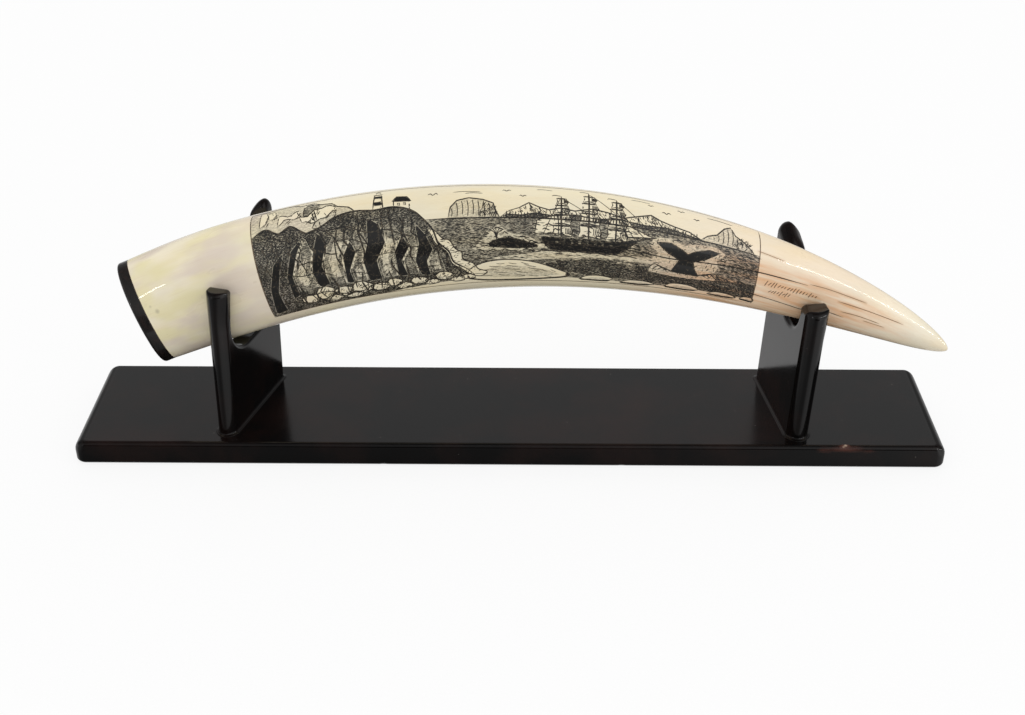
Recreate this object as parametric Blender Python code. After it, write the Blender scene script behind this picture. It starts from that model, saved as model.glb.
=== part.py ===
"""Scrimshaw walrus tusk lying across the two notched uprights of its own lacquered stand.

Metres, +Z up. X runs along the board from the tusk's butt to its tip, Y from front to back.
The origin is the centre of the board's underside. Run with blender --background --python part.py
"""

import math

import bmesh
import bpy
from mathutils import Matrix, Vector
from mathutils.geometry import interpolate_bezier

# Clearance between touching pieces
GLUE_GAP = 0.0003
SEAT_GAP = 0.0003

# Board: one flat plank, round at its corners in plan; its ends are rounder above than its sides
BOARD_LENGTH = 0.4892
BOARD_DEPTH = 0.0832
BOARD_THICKNESS = 0.0149
BOARD_FRONT_CORNER = 0.0054
BOARD_BACK_CORNER = 0.0046
BOARD_SIDE_ROUND = 0.0024
BOARD_END_ROUND = 0.0072
BOARD_FOOT_ROUND = 0.0030

# Uprights: two boards on edge, each cut with a U notch between two prongs of unequal height
UPRIGHT_DEPTH = 0.0676
FRONT_REACH = 0.0354
OUTER_EDGE_ROUND = 0.0012
BACK_EDGE_RADIUS = 0.0040
BACK_TIP_PARING = 0.0080
INNER_TIP_PARING = 0.0036
FRONT_PRONG_GAP = 0.0005
SWELL_REACH = 0.0180
FRONT_BOW = 0.0045
FRONT_BOW_DEPTH = 0.0078

# Left upright, nearer the butt: its place, its notch and the prongs' heights above the board
LEFT_THICKNESS = 0.0108
LEFT_FROM_MIDDLE = 0.1502
LEFT_TOE_IN = math.radians(16.9)
LEFT_LEAN = math.radians(1.5)
LEFT_NOTCH_FLOOR = 0.04645
LEFT_NOTCH_SLACK = 0.0024
LEFT_NOTCH_RADIUS = 0.0178
LEFT_INNER_ROUND = 0.0018
LEFT_FRONT_DEPTH = 0.0101
LEFT_FRONT_TOP = 0.0901
LEFT_FRONT_TIP_RADIUS = 0.0026
LEFT_FRONT_SWELL = 0.0020
LEFT_BACK_INNER_TOP = 0.1170
LEFT_BACK_TOP = 0.1190
LEFT_BACK_CURVE = 1.6
LEFT_BACK_CREST = 0.30

# Right upright, nearer the tip
RIGHT_THICKNESS = 0.0125
RIGHT_FROM_MIDDLE = 0.1576
RIGHT_TOE_IN = math.radians(-8.2)
RIGHT_LEAN = math.radians(2.0)
RIGHT_NOTCH_FLOOR = 0.06053
RIGHT_NOTCH_SLACK = 0.0030
RIGHT_NOTCH_RADIUS = 0.0138
RIGHT_INNER_ROUND = 0.0032
RIGHT_FRONT_DEPTH = 0.0151
RIGHT_FRONT_TOP = 0.0804
RIGHT_FRONT_TIP_RADIUS = 0.0036
RIGHT_FRONT_SWELL = 0.0010
RIGHT_BACK_INNER_TOP = 0.0960
RIGHT_BACK_TOP = 0.1067
RIGHT_BACK_CURVE = 1.5
RIGHT_BACK_CREST = 0.42

# Tusk: an oval section that tapers along one smooth arch
TUSK_CHORD = 0.4460
TUSK_HALF_HEIGHT = 0.0325
TUSK_HALF_DEPTH = 0.0207
BUTT_OVERHANG = 0.0496
BUTT_RISE = math.radians(26.8)
TIP_FALL = math.radians(26.6)
BUTT_PULL = 0.439
TIP_PULL = 0.323
TAPER_POWER = 2.38
TAPER_ROOT = 0.590
BUTT_CUT_SKEW = math.radians(-5.2)
BUTT_CUT_TURN = math.radians(13.6)
BUTT_CUT_REACH = 0.25
BUTT_DRAW = 0.045
BUTT_DRAW_REACH = 0.12
TIP_END = 0.9995

# Butt cap: a thin slice of horn set on the sawn end of the tusk
CAP_THICKNESS = 0.0066
CAP_EDGE_ROUND = 0.0016
CAP_DOME = 0.0007

# Fineness of the faceted forms
TUSK_RINGS = 60
TUSK_SIDES = 36
TIP_CROWDING = 1.35
ARC_STEPS = 6
ROUND_STEPS = 3
LAYERS = (-1.0, -0.45, -0.2, 0.0, 0.2, 0.45, 1.0)
SPINE_SAMPLES = 400
SEAT_PASSES = 8
SEAT_SAMPLES = 60

# Colours and finishes: base colour, roughness
IVORY = ((0.82, 0.74, 0.58, 1.0), 0.22)
HORN = ((0.030, 0.024, 0.020, 1.0), 0.40)
LACQUER = ((0.016, 0.013, 0.012, 1.0), 0.24)


def clear_scene():
    for item in list(bpy.data.objects):
        bpy.data.objects.remove(item, do_unlink=True)


def finish(name, colour, roughness):
    material = bpy.data.materials.new(name)
    material.use_nodes = True
    shader = material.node_tree.nodes["Principled BSDF"]
    shader.inputs["Base Color"].default_value = colour
    shader.inputs["Roughness"].default_value = roughness
    shader.inputs["Metallic"].default_value = 0.0
    return material


def face_outwards(shape):
    bmesh.ops.recalc_face_normals(shape, faces=shape.faces)
    if shape.calc_volume(signed=True) < 0.0:
        bmesh.ops.reverse_faces(shape, faces=shape.faces)


def add_object(name, shape, material):
    face_outwards(shape)
    mesh = bpy.data.meshes.new(name)
    shape.to_mesh(mesh)
    shape.free()
    mesh.materials.append(material)
    mesh.shade_smooth()
    mesh.set_sharp_from_angle(angle=math.radians(40))
    item = bpy.data.objects.new(name, mesh)
    bpy.context.collection.objects.link(item)
    return item


def rounded_outline(corners):
    """Closed outline through corners (a, b, radius): each sharp corner becomes an arc."""
    points = []
    count = len(corners)
    for index, (a, b, radius) in enumerate(corners):
        here = Vector((a, b))
        if radius <= 0.0:
            points.append(here)
            continue
        before = Vector(corners[index - 1][:2]) - here
        after = Vector(corners[(index + 1) % count][:2]) - here
        half_angle = before.angle(after) / 2
        reach = radius / math.tan(half_angle)
        start = here + before.normalized() * reach
        middle = (before.normalized() + after.normalized()).normalized()
        centre = here + middle * (radius / math.sin(half_angle))
        first = start - centre
        swing = first.angle_signed(here + after.normalized() * reach - centre)
        for step in range(ARC_STEPS + 1):
            turned = first.copy()
            turned.rotate(Matrix.Rotation(-swing * step / ARC_STEPS, 2))
            points.append(centre + turned)
    return points


def skin(shape, rings):
    """Join rings of vertices into a tube."""
    for ring, following in zip(rings, rings[1:]):
        for index in range(len(ring)):
            after = (index + 1) % len(ring)
            shape.faces.new((ring[index], ring[after], following[after], following[index]))


def prism(points, place, thickness):
    """Solid of an outline, swept through a thickness: place(a, b, t) gives a vertex."""
    shape = bmesh.new()
    rings = []
    for share in LAYERS:
        t = thickness / 2 * share
        rings.append([shape.verts.new(place(p.x, p.y, t)) for p in points])
    skin(shape, rings)
    shape.faces.new(rings[0])
    shape.faces.new(rings[-1])
    face_outwards(shape)
    return shape


def round_edges(shape, chosen, radius):
    bmesh.ops.bevel(shape, geom=chosen, offset=radius, offset_type="OFFSET", segments=ROUND_STEPS,
                    profile=0.5, affect="EDGES", clamp_overlap=True)


def board_levels():
    """Heights of the board's outlines, close together where an edge is round."""
    levels = set()
    for radius, base, sign in ((BOARD_FOOT_ROUND, 0.0, 1), (BOARD_SIDE_ROUND, BOARD_THICKNESS, -1),
                               (BOARD_END_ROUND, BOARD_THICKNESS, -1)):
        for step in range(ROUND_STEPS + 1):
            turn = math.pi / 2 * step / ROUND_STEPS
            levels.add(round(base + sign * radius * (1 - math.cos(turn)), 6))
    return sorted(levels)


def edge_inset(height, top_round):
    """How far a rounded edge has drawn in at a height."""
    inset = 0.0
    for radius, depth in ((top_round, BOARD_THICKNESS - height), (BOARD_FOOT_ROUND, height)):
        rest = max(radius - depth, 0.0)
        inset += radius - math.sqrt(radius ** 2 - rest ** 2)
    return inset


def build_board(material):
    shape = bmesh.new()
    rings = []
    for height in board_levels():
        end_inset = edge_inset(height, BOARD_END_ROUND)
        half_x = BOARD_LENGTH / 2 - end_inset
        half_y = BOARD_DEPTH / 2 - edge_inset(height, BOARD_SIDE_ROUND)
        front = BOARD_FRONT_CORNER - end_inset / 2
        back = BOARD_BACK_CORNER - end_inset / 2
        corners = [(-half_x, -half_y, front), (half_x, -half_y, front),
                   (half_x, half_y, back), (-half_x, half_y, back)]
        rings.append([shape.verts.new((p.x, p.y, height)) for p in rounded_outline(corners)])
    skin(shape, rings)
    shape.faces.new(rings[0])
    shape.faces.new(rings[-1])
    return add_object("stand_base", shape, material)


def taper(share):
    """Share of the full section at a share of the length; the butt itself is drawn in a little."""
    drawn_in = BUTT_DRAW * max(1.0 - share / BUTT_DRAW_REACH, 0.0) ** 2
    return (1.0 - drawn_in) * max(1.0 - share ** TAPER_POWER, 0.0) ** TAPER_ROOT


def notch_width(reach, thickness, toe_in, slack):
    """Room for the tusk's depth at a reach from its butt, through a board set askew."""
    depth = 2 * TUSK_HALF_DEPTH * taper(min(reach / TUSK_CHORD, 1.0)) + slack
    return (depth + thickness * math.sin(abs(toe_in))) / math.cos(toe_in)


def neck_height(notch, front):
    """Where the front prong starts to swell towards its tip, above the round of the notch."""
    return max(front[1] - SWELL_REACH, notch[1] + notch[2] + GLUE_GAP)


def upright_outline(notch, front, back):
    """Side view of an upright: a runs from its front edge to its back, b upwards."""
    width, floor, notch_radius = notch
    front_depth, front_top, front_radius, _swell = front
    inner_top, back_top, _curve, _crest = back
    inner_back = front_depth + width
    inner_radius = UPRIGHT_DEPTH - inner_back - BACK_EDGE_RADIUS
    neck = neck_height(notch, front)
    return rounded_outline([
        (0.0, 0.0, 0.0),
        (0.0, neck, 0.0),
        (0.0, front_top, front_radius),
        (front_depth, front_top, front_radius),
        (front_depth, neck, 0.0),
        (front_depth, floor, notch_radius),
        (inner_back, floor, notch_radius),
        (inner_back, inner_top, inner_radius),
        (UPRIGHT_DEPTH, back_top, BACK_EDGE_RADIUS),
        (UPRIGHT_DEPTH, 0.0, 0.0),
    ])


def upright_frame(middle_x, toe_in, lean):
    """From (thickness, depth, height) in the upright to the part's own axes."""
    move = Matrix.Translation((middle_x, 0.0, BOARD_THICKNESS + GLUE_GAP))
    turn = Matrix.Rotation(-toe_in, 4, "Z")
    shear = Matrix.Identity(4)
    shear[0][2] = math.tan(lean)
    return move @ shear @ turn


def pare_back_tip(shape, thickness, outer_side, front_top, back):
    """The back tip falls away from its crest to both faces, from the front prong's height up."""
    _inner_top, back_top, curve, crest = back
    for vert in shape.verts:
        if vert.co.y > 0.0 and vert.co.z > front_top:
            climb = (vert.co.z - front_top) / (back_top - front_top)
            across = 0.5 + outer_side * vert.co.x / thickness
            outward = max(across - crest, 0.0) / (1.0 - crest)
            inward = max(crest - across, 0.0) / crest
            fall = BACK_TIP_PARING * outward ** curve + INNER_TIP_PARING * inward ** 2
            vert.co.z -= fall * climb


def swell_front_tip(shape, thickness, neck, front):
    """The face of the front prong that looks towards the tusk's tip bulges at its top."""
    front_depth, front_top, _radius, swell = front
    for vert in shape.verts:
        forward = vert.co.y < front_depth - FRONT_REACH + GLUE_GAP
        if forward and vert.co.x > 0.0 and vert.co.z > neck:
            climb = (vert.co.z - neck) / (front_top - neck)
            vert.co.x += swell * climb * vert.co.x / (thickness / 2)


def bow_front_edge(shape, thickness):
    """The narrow front face is bull-nosed: it falls back towards both its sides."""
    for vert in shape.verts:
        depth = vert.co.y + FRONT_REACH
        if depth < FRONT_BOW_DEPTH:
            across = vert.co.x / (thickness / 2)
            vert.co.y += FRONT_BOW * across ** 2 * (1.0 - depth / FRONT_BOW_DEPTH)


def build_upright(name, place, board, notch, front, back, material):
    thickness, outer_side, inner_round = board
    outline = upright_outline(notch, front, back)
    shape = prism(outline, lambda a, b, t: (t, a - FRONT_REACH, b), thickness)
    for side, radius in ((outer_side, OUTER_EDGE_ROUND), (-outer_side, inner_round)):
        rim = [edge for edge in shape.edges
               if all(abs(vert.co.x - side * thickness / 2) < 1e-6 for vert in edge.verts)
               and max(vert.co.z for vert in edge.verts) > 1e-6]
        round_edges(shape, rim, radius)
    swell_front_tip(shape, thickness, neck_height(notch, front), front)
    bow_front_edge(shape, thickness)
    pare_back_tip(shape, thickness, outer_side, front[1], back)
    bmesh.ops.transform(shape, matrix=upright_frame(*place), verts=shape.verts)
    return add_object(name, shape, material)


def build_uprights(material):
    left_reach = BUTT_OVERHANG
    right_reach = BUTT_OVERHANG + LEFT_FROM_MIDDLE + RIGHT_FROM_MIDDLE
    left_width = notch_width(left_reach, LEFT_THICKNESS, LEFT_TOE_IN, LEFT_NOTCH_SLACK)
    right_width = notch_width(right_reach, RIGHT_THICKNESS, RIGHT_TOE_IN, RIGHT_NOTCH_SLACK)
    build_upright("upright_left", (-LEFT_FROM_MIDDLE, LEFT_TOE_IN, LEFT_LEAN),
                  (LEFT_THICKNESS, -1, LEFT_INNER_ROUND),
                  (left_width, LEFT_NOTCH_FLOOR, LEFT_NOTCH_RADIUS),
                  (LEFT_FRONT_DEPTH, LEFT_FRONT_TOP, LEFT_FRONT_TIP_RADIUS, LEFT_FRONT_SWELL),
                  (LEFT_BACK_INNER_TOP, LEFT_BACK_TOP, LEFT_BACK_CURVE, LEFT_BACK_CREST), material)
    build_upright("upright_right", (RIGHT_FROM_MIDDLE, RIGHT_TOE_IN, RIGHT_LEAN),
                  (RIGHT_THICKNESS, 1, RIGHT_INNER_ROUND),
                  (right_width, RIGHT_NOTCH_FLOOR, RIGHT_NOTCH_RADIUS),
                  (RIGHT_FRONT_DEPTH, RIGHT_FRONT_TOP, RIGHT_FRONT_TIP_RADIUS, RIGHT_FRONT_SWELL),
                  (RIGHT_BACK_INNER_TOP, RIGHT_BACK_TOP, RIGHT_BACK_CURVE, RIGHT_BACK_CREST), material)


def spine_stations(shares):
    """Points and directions of the arch at shares of its length, chord level and butt at zero."""
    butt = Vector((0.0, 0.0))
    tip = Vector((TUSK_CHORD, 0.0))
    pull_up = Vector((math.cos(BUTT_RISE), math.sin(BUTT_RISE))) * BUTT_PULL * TUSK_CHORD
    pull_back = Vector((-math.cos(TIP_FALL), math.sin(TIP_FALL))) * TIP_PULL * TUSK_CHORD
    curve = interpolate_bezier(butt, butt + pull_up, tip + pull_back, tip, SPINE_SAMPLES)
    lengths = [0.0]
    for first, second in zip(curve, curve[1:]):
        lengths.append(lengths[-1] + (second - first).length)
    stations = []
    index = 0
    for share in shares:
        target = share * lengths[-1]
        while index < len(curve) - 2 and lengths[index + 1] < target:
            index += 1
        step = curve[index + 1] - curve[index]
        part = (target - lengths[index]) / step.length
        stations.append((curve[index] + step * part, math.atan2(step.y, step.x)))
    return stations


def ring_shares():
    """Rings stand closer together towards the tip, where the form turns fastest."""
    return [TIP_END * (1.0 - (1.0 - index / TUSK_RINGS) ** TIP_CROWDING)
            for index in range(TUSK_RINGS + 1)]


def ring_points(centre, slope, turn, half_height, half_depth):
    """One oval ring, square to the slope but for a turn in plan; the arch lies in X-Z."""
    up = Vector((-math.sin(slope), 0.0, math.cos(slope)))
    front = Vector((math.sin(turn), -math.cos(turn), 0.0))
    middle = Vector((centre.x, 0.0, centre.y))
    points = []
    for index in range(TUSK_SIDES):
        angle = 2 * math.pi * index / TUSK_SIDES
        points.append(middle + up * half_height * math.cos(angle) + front * half_depth * math.sin(angle))
    return points


def tusk_rings():
    """All rings of the ivory in the tusk's own axes, from butt to tip."""
    shares = ring_shares()
    rings = []
    for share, (centre, slope) in zip(shares, spine_stations(shares)):
        fade = max(1.0 - share / BUTT_CUT_REACH, 0.0) ** 2
        left = taper(share)
        rings.append(ring_points(centre, slope + BUTT_CUT_SKEW * fade, BUTT_CUT_TURN * fade,
                                 TUSK_HALF_HEIGHT * left, TUSK_HALF_DEPTH * left))
    return rings


def section_at(rings, frame, x):
    """Middle in Y and half depth of the placed tusk near a place along the board."""
    best = min(rings, key=lambda ring: abs(sum((frame @ p).x for p in ring) / len(ring) - x))
    ys = [(frame @ p).y for p in best]
    return (max(ys) + min(ys)) / 2, (max(ys) - min(ys)) / 2


def floor_clearance(rings, frame, place, board, floor):
    """Least height of the tusk's underside over one notch floor, whose edges are rounded."""
    thickness, outer_side, inner_round = board
    inverse = upright_frame(*place).inverted() @ frame
    half = thickness / 2
    least = 1.0
    for ring, following in zip(rings, rings[1:]):
        for first, second in zip(ring, following):
            a = inverse @ first
            b = inverse @ second
            if min(abs(a.x), abs(b.x)) > half and a.x * b.x > 0.0:
                continue
            for step in range(SEAT_SAMPLES):
                p = a.lerp(b, step / SEAT_SAMPLES)
                inset = half - abs(p.x)
                if inset < 0.0:
                    continue
                radius = OUTER_EDGE_ROUND if p.x * outer_side > 0.0 else inner_round
                rest = max(radius - inset, 0.0)
                drop = radius - math.sqrt(radius ** 2 - rest ** 2)
                least = min(least, p.z - floor + drop)
    return least


def tusk_frame(start, pitch, yaw):
    return Matrix.Translation(start) @ Matrix.Rotation(yaw, 4, "Z") @ Matrix.Rotation(pitch, 4, "Y")


def seat_tusk(rings):
    """Lay the tusk on both notch floors and against the back of both front prongs."""
    left = ((-LEFT_FROM_MIDDLE, LEFT_TOE_IN, LEFT_LEAN),
            (LEFT_THICKNESS, -1, LEFT_INNER_ROUND), LEFT_NOTCH_FLOOR)
    right = ((RIGHT_FROM_MIDDLE, RIGHT_TOE_IN, RIGHT_LEAN),
             (RIGHT_THICKNESS, 1, RIGHT_INNER_ROUND), RIGHT_NOTCH_FLOOR)
    span = LEFT_FROM_MIDDLE + RIGHT_FROM_MIDDLE
    start = Vector((-LEFT_FROM_MIDDLE - BUTT_OVERHANG, 0.0, BOARD_THICKNESS + LEFT_NOTCH_FLOOR))
    pitch = 0.0
    yaw = 0.0
    for _ in range(SEAT_PASSES):
        frame = tusk_frame(start, pitch, yaw)
        lift_left = SEAT_GAP - floor_clearance(rings, frame, *left)
        lift_right = SEAT_GAP - floor_clearance(rings, frame, *right)
        slides = []
        for side, front_depth in ((left, LEFT_FRONT_DEPTH), (right, RIGHT_FRONT_DEPTH)):
            (middle_x, toe_in, _lean), (thickness, _outer, _round) = side[:2]
            middle_y, half_depth = section_at(rings, frame, middle_x)
            askew = thickness / 2 * math.sin(abs(toe_in))
            stop = (front_depth - FRONT_REACH) * math.cos(toe_in) + askew + FRONT_PRONG_GAP
            slides.append(stop + half_depth - middle_y)
        climb = (lift_right - lift_left) / span
        veer = (slides[1] - slides[0]) / span
        start.z += lift_left - climb * BUTT_OVERHANG
        start.y += slides[0] - veer * BUTT_OVERHANG
        pitch -= climb
        yaw += veer
    return tusk_frame(start, pitch, yaw)


def build_tusk(rings, frame, material):
    shape = bmesh.new()
    made = [[shape.verts.new(frame @ point) for point in ring] for ring in rings]
    skin(shape, made)
    shape.faces.new(made[0])
    shape.faces.new(made[-1])
    return add_object("tusk", shape, material)


def build_cap(rings, frame, material):
    """The cap carries the butt's own section outwards and ends in a faintly domed face."""
    butt = rings[0]
    middle = sum(butt, Vector()) / len(butt)
    normal = (butt[0] - middle).cross(butt[len(butt) // 4] - middle).normalized()
    outwards = normal if normal.x < 0 else -normal
    shape = bmesh.new()
    made = []
    steps = [(GLUE_GAP, 0.0), (CAP_THICKNESS - CAP_EDGE_ROUND, 0.0)]
    for index in range(1, ROUND_STEPS + 1):
        turn = math.pi / 2 * index / ROUND_STEPS
        steps.append((CAP_THICKNESS - CAP_EDGE_ROUND * (1 - math.sin(turn)),
                      CAP_EDGE_ROUND * (1 - math.cos(turn))))
    for out, inset in steps:
        ring = []
        for point in butt:
            spoke = point - middle
            shrunk = middle + spoke * (1 - inset / spoke.length)
            ring.append(shape.verts.new(frame @ (shrunk + outwards * out)))
        made.append(ring)
    skin(shape, made)
    shape.faces.new(made[0])
    crown = shape.verts.new(frame @ (middle + outwards * (CAP_THICKNESS + CAP_DOME)))
    rim = made[-1]
    for index in range(len(rim)):
        shape.faces.new((rim[index], rim[(index + 1) % len(rim)], crown))
    return add_object("butt_cap", shape, material)


def main():
    clear_scene()
    lacquer = finish("black lacquered wood", *LACQUER)
    ivory = finish("polished walrus ivory", *IVORY)
    horn = finish("dark horn", *HORN)
    build_board(lacquer)
    build_uprights(lacquer)
    rings = tusk_rings()
    frame = seat_tusk(rings)
    build_tusk(rings, frame, ivory)
    build_cap(rings, frame, horn)


main()
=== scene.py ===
"""Engraved walrus tusk on a black lacquered stand: the finish of every surface, and the studio."""

import math
import random

import bmesh
import bpy
import numpy as np
from bpy.props import FloatProperty, FloatVectorProperty, PointerProperty
from mathutils import Matrix, Vector


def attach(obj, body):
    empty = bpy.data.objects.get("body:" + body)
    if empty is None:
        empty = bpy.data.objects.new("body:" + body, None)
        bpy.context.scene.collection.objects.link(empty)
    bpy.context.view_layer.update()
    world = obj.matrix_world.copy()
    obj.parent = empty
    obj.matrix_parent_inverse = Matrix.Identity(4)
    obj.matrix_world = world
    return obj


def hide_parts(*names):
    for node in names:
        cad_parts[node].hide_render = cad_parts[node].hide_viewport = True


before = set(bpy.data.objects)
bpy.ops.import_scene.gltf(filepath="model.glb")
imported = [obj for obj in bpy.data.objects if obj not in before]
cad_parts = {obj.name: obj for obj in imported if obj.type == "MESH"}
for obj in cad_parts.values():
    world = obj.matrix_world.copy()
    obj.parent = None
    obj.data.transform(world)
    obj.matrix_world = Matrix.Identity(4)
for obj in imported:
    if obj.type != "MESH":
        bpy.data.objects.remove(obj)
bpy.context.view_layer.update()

bl_info = {
    "name": "Engraved Walrus Tusk",
    "version": (1, 0, 0),
    "blender": (4, 5, 0),
    "location": "View3D > Sidebar > Tusk",
    "description": "Dresses an engraved walrus tusk, its horn cap and its lacquered stand",
    "category": "Object",
}

MM = 0.001

# Stand: a board and two notched uprights glued on it. The uprights' front edges stand FRONT_REACH
# before the board's middle line.
GLUE_GAP = 0.0003
BOARD_LENGTH = 0.4892
BOARD_DEPTH = 0.0832
BOARD_THICKNESS = 0.0149
BOARD_FRONT_CORNER = 0.0054
BOARD_BACK_CORNER = 0.0046
BOARD_SIDE_ROUND = 0.0024
BOARD_END_ROUND = 0.0072
BOARD_FOOT_ROUND = 0.0030
UPRIGHT_DEPTH = 0.0676
FRONT_REACH = 0.0354
OUTER_EDGE_ROUND = 0.0012
BACK_EDGE_RADIUS = 0.0040
BACK_TIP_PARING = 0.0080
INNER_TIP_PARING = 0.0036
SWELL_REACH = 0.0180
FRONT_BOW = 0.0045
FRONT_BOW_DEPTH = 0.0078

# Each upright: where it stands, how it is turned and how its prongs and notch are cut
LEFT_UPRIGHT = {
    "thickness": 0.0108, "middle": -0.1502, "toe_in": math.radians(16.9), "lean": math.radians(1.5),
    "outer_side": -1, "inner_round": 0.0018, "reach": 0.0496, "floor": 0.04645, "slack": 0.0024,
    "notch_radius": 0.0178, "front_depth": 0.0101, "front_top": 0.0901, "front_radius": 0.0026,
    "front_swell": 0.0020, "back_inner_top": 0.1170, "back_top": 0.1190, "back_curve": 1.6,
    "back_crest": 0.30,
}
RIGHT_UPRIGHT = {
    "thickness": 0.0125, "middle": 0.1576, "toe_in": math.radians(-8.2), "lean": math.radians(2.0),
    "outer_side": 1, "inner_round": 0.0032, "reach": 0.3574, "floor": 0.06053, "slack": 0.0030,
    "notch_radius": 0.0138, "front_depth": 0.0151, "front_top": 0.0804, "front_radius": 0.0036,
    "front_swell": 0.0010, "back_inner_top": 0.0960, "back_top": 0.1067, "back_curve": 1.5,
    "back_crest": 0.42,
}

# Tusk: an arch in its own X-Z plane, butt at zero, and how it is seated on the stand
TUSK_CHORD = 0.4460
TUSK_HALF_HEIGHT = 0.0325
TUSK_HALF_DEPTH = 0.0207
BUTT_RISE = math.radians(26.8)
TIP_FALL = math.radians(26.6)
BUTT_PULL = 0.439
TIP_PULL = 0.323
TAPER_POWER = 2.38
TAPER_ROOT = 0.590
BUTT_CUT_SKEW = math.radians(-5.2)
BUTT_CUT_TURN = math.radians(13.6)
BUTT_CUT_REACH = 0.25
BUTT_DRAW = 0.045
BUTT_DRAW_REACH = 0.12
TIP_END = 0.9995
TUSK_START = (-0.1998, -0.00084, 0.07791)
TUSK_PITCH = math.radians(2.6063)
TUSK_YAW = math.radians(-0.8410)
CAP_THICKNESS = 0.0066
CAP_EDGE_ROUND = 0.0016
CAP_DOME = 0.0007
CAP_DOME_REACH = 0.020

# Wear and unevenness of the dressed surfaces. The calm ends are shares of the tusk's length.
RUB_HEIGHT = 0.0035
CHIP_REACH = 0.0022
SCRAPED_UNEVEN = 0.00007
CALM_BUTT = 0.03
CALM_TIP = 0.08

# Camera at the photograph's angle, and the strength of the lit paper under the object
CAMERA_PLACE = (0.0084, -0.6937, 0.4730)
CAMERA_DOWN = math.radians(31.57)
CAMERA_LEFT = math.radians(0.56)
SENSOR_WIDTH = 36.0
PAPER_GLOW = 0.935

# Fineness of the dressed meshes. The layers lie across the flat part of an upright's thickness.
LAYERS = 12
TUSK_RINGS = 420
TUSK_SIDES = 160
TIP_CROWDING = 1.25
SPINE_STEPS = 4001
GIRTH_STEPS = 5401
SEAM_ANGLE = 222.0
ARC_STEPS = 20
ROUND_STEPS = 7
EDGE_STEP = 0.0025

# Picture band: a sheet wrapped on the tusk, in millimetres across and up. Its start, its end and its
# borders are millimetres along the tusk, the borders at the sheet's foot and at its top.
SHEET_WIDTH = 265.0
SHEET_HEIGHT = 66.0
SHEET_FOOT_ANGLE = 132.0
SHEET_TOP_ANGLE = -3.0
SHEET_START = 72.0
SHEET_END = 339.0
LEFT_BORDER = (69.7, 75.6)
RIGHT_BORDER = (344.5, 335.4)
STROKE_STEP = 0.8
STROKE_LIFT = 0.022
STROKE_KEEL = 0.090
STROKE_SWELL = 9.0
STROKE_END_WIDTH = 0.22
FIELD_SOFTNESS = 0.22
FIELD_LIMIT = 9.0
HATCH_DRIFT = 0.22


def hex_colour(code):
    """Linear red, green and blue of an sRGB hex colour."""
    channels = [int(code[start:start + 2], 16) / 255 for start in (1, 3, 5)]
    return tuple(c / 12.92 if c <= 0.04045 else ((c + 0.055) / 1.055) ** 2.4 for c in channels)


def colour_setting(name, description, code):
    return FloatVectorProperty(
        name=name, description=description, subtype="COLOR", default=hex_colour(code))


class TuskLook(bpy.types.PropertyGroup):
    cream: colour_setting("Butt cream", "Ivory towards the butt", "#F2E8D0")
    honey: colour_setting("Middle honey", "Ivory along the engraved stretch", "#E8DDBF")
    tip: colour_setting("Tip ivory", "Pinkish ivory of the last third", "#F1DFC6")
    blush: colour_setting("Tip blush", "Warm veins on the front of the tip", "#E2B48A")
    ink: colour_setting("Ink", "Lampblack rubbed into the engraving", "#1D1C1A")
    stain: colour_setting("Crack stain", "Brown that age leaves beside the cracks", "#B98C5C")
    line: FloatProperty(
        name="Outline width", description="Width of the engraved outlines", unit="LENGTH",
        default=0.68 * MM, min=0.1 * MM, max=1.5 * MM)
    fine_line: FloatProperty(
        name="Fine line width", description="Width of hatching and small details", unit="LENGTH",
        default=0.46 * MM, min=0.1 * MM, max=1.0 * MM)


class StandLook(bpy.types.PropertyGroup):
    lacquer: colour_setting("Lacquer", "Black lacquer of the stand", "#060505")
    wood: colour_setting("Worn wood", "Red-brown wood where the lacquer has worn through", "#4A2418")
    bead: FloatProperty(
        name="Lacquer bead", description="Width of the lacquer pooled round each foot",
        unit="LENGTH", default=1.5 * MM, min=0.5 * MM, max=4 * MM)


class CapLook(bpy.types.PropertyGroup):
    horn: colour_setting("Horn", "Dark horn of the butt cap", "#1C1918")
    glow: colour_setting("Horn glow", "Warm patches in the horn", "#43281E")


class StudioLook(bpy.types.PropertyGroup):
    floor: colour_setting("Floor", "Pale studio floor", "#F7F7F7")
    tent: FloatProperty(
        name="Light tent", description="Strength of the soft white light all round",
        default=1.02, min=0.0, max=3.0)
    strip: FloatProperty(
        name="Strip lights", description="Brightness of the narrow lights that draw the highlight",
        default=9.0, min=0.0, max=40.0)
    lens: FloatProperty(
        name="Lens", description="Focal length of the camera in millimetres",
        default=50.12, min=20.0, max=200.0)


def add_node(tree, kind, inputs=None, stops=None, **settings):
    """Add a node with its settings; each input is a socket to link or a value to set."""
    made = tree.nodes.new(kind)
    for name, value in settings.items():
        setattr(made, name, value)
    for key, value in (inputs or {}).items():
        if isinstance(value, bpy.types.NodeSocket):
            tree.links.new(value, made.inputs[key])
        else:
            made.inputs[key].default_value = value
    if stops:
        elements = made.color_ramp.elements
        while len(elements) < len(stops):
            elements.new(1.0)
        for element, (place, colour) in zip(elements, stops):
            element.position = place
            element.color = (*colour, 1.0)
    return made


def new_material(name):
    material = bpy.data.materials.new(name)
    material.use_nodes = True
    return material, material.node_tree, material.node_tree.nodes["Principled BSDF"]


def grey(value):
    return (value, value, value)


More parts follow.
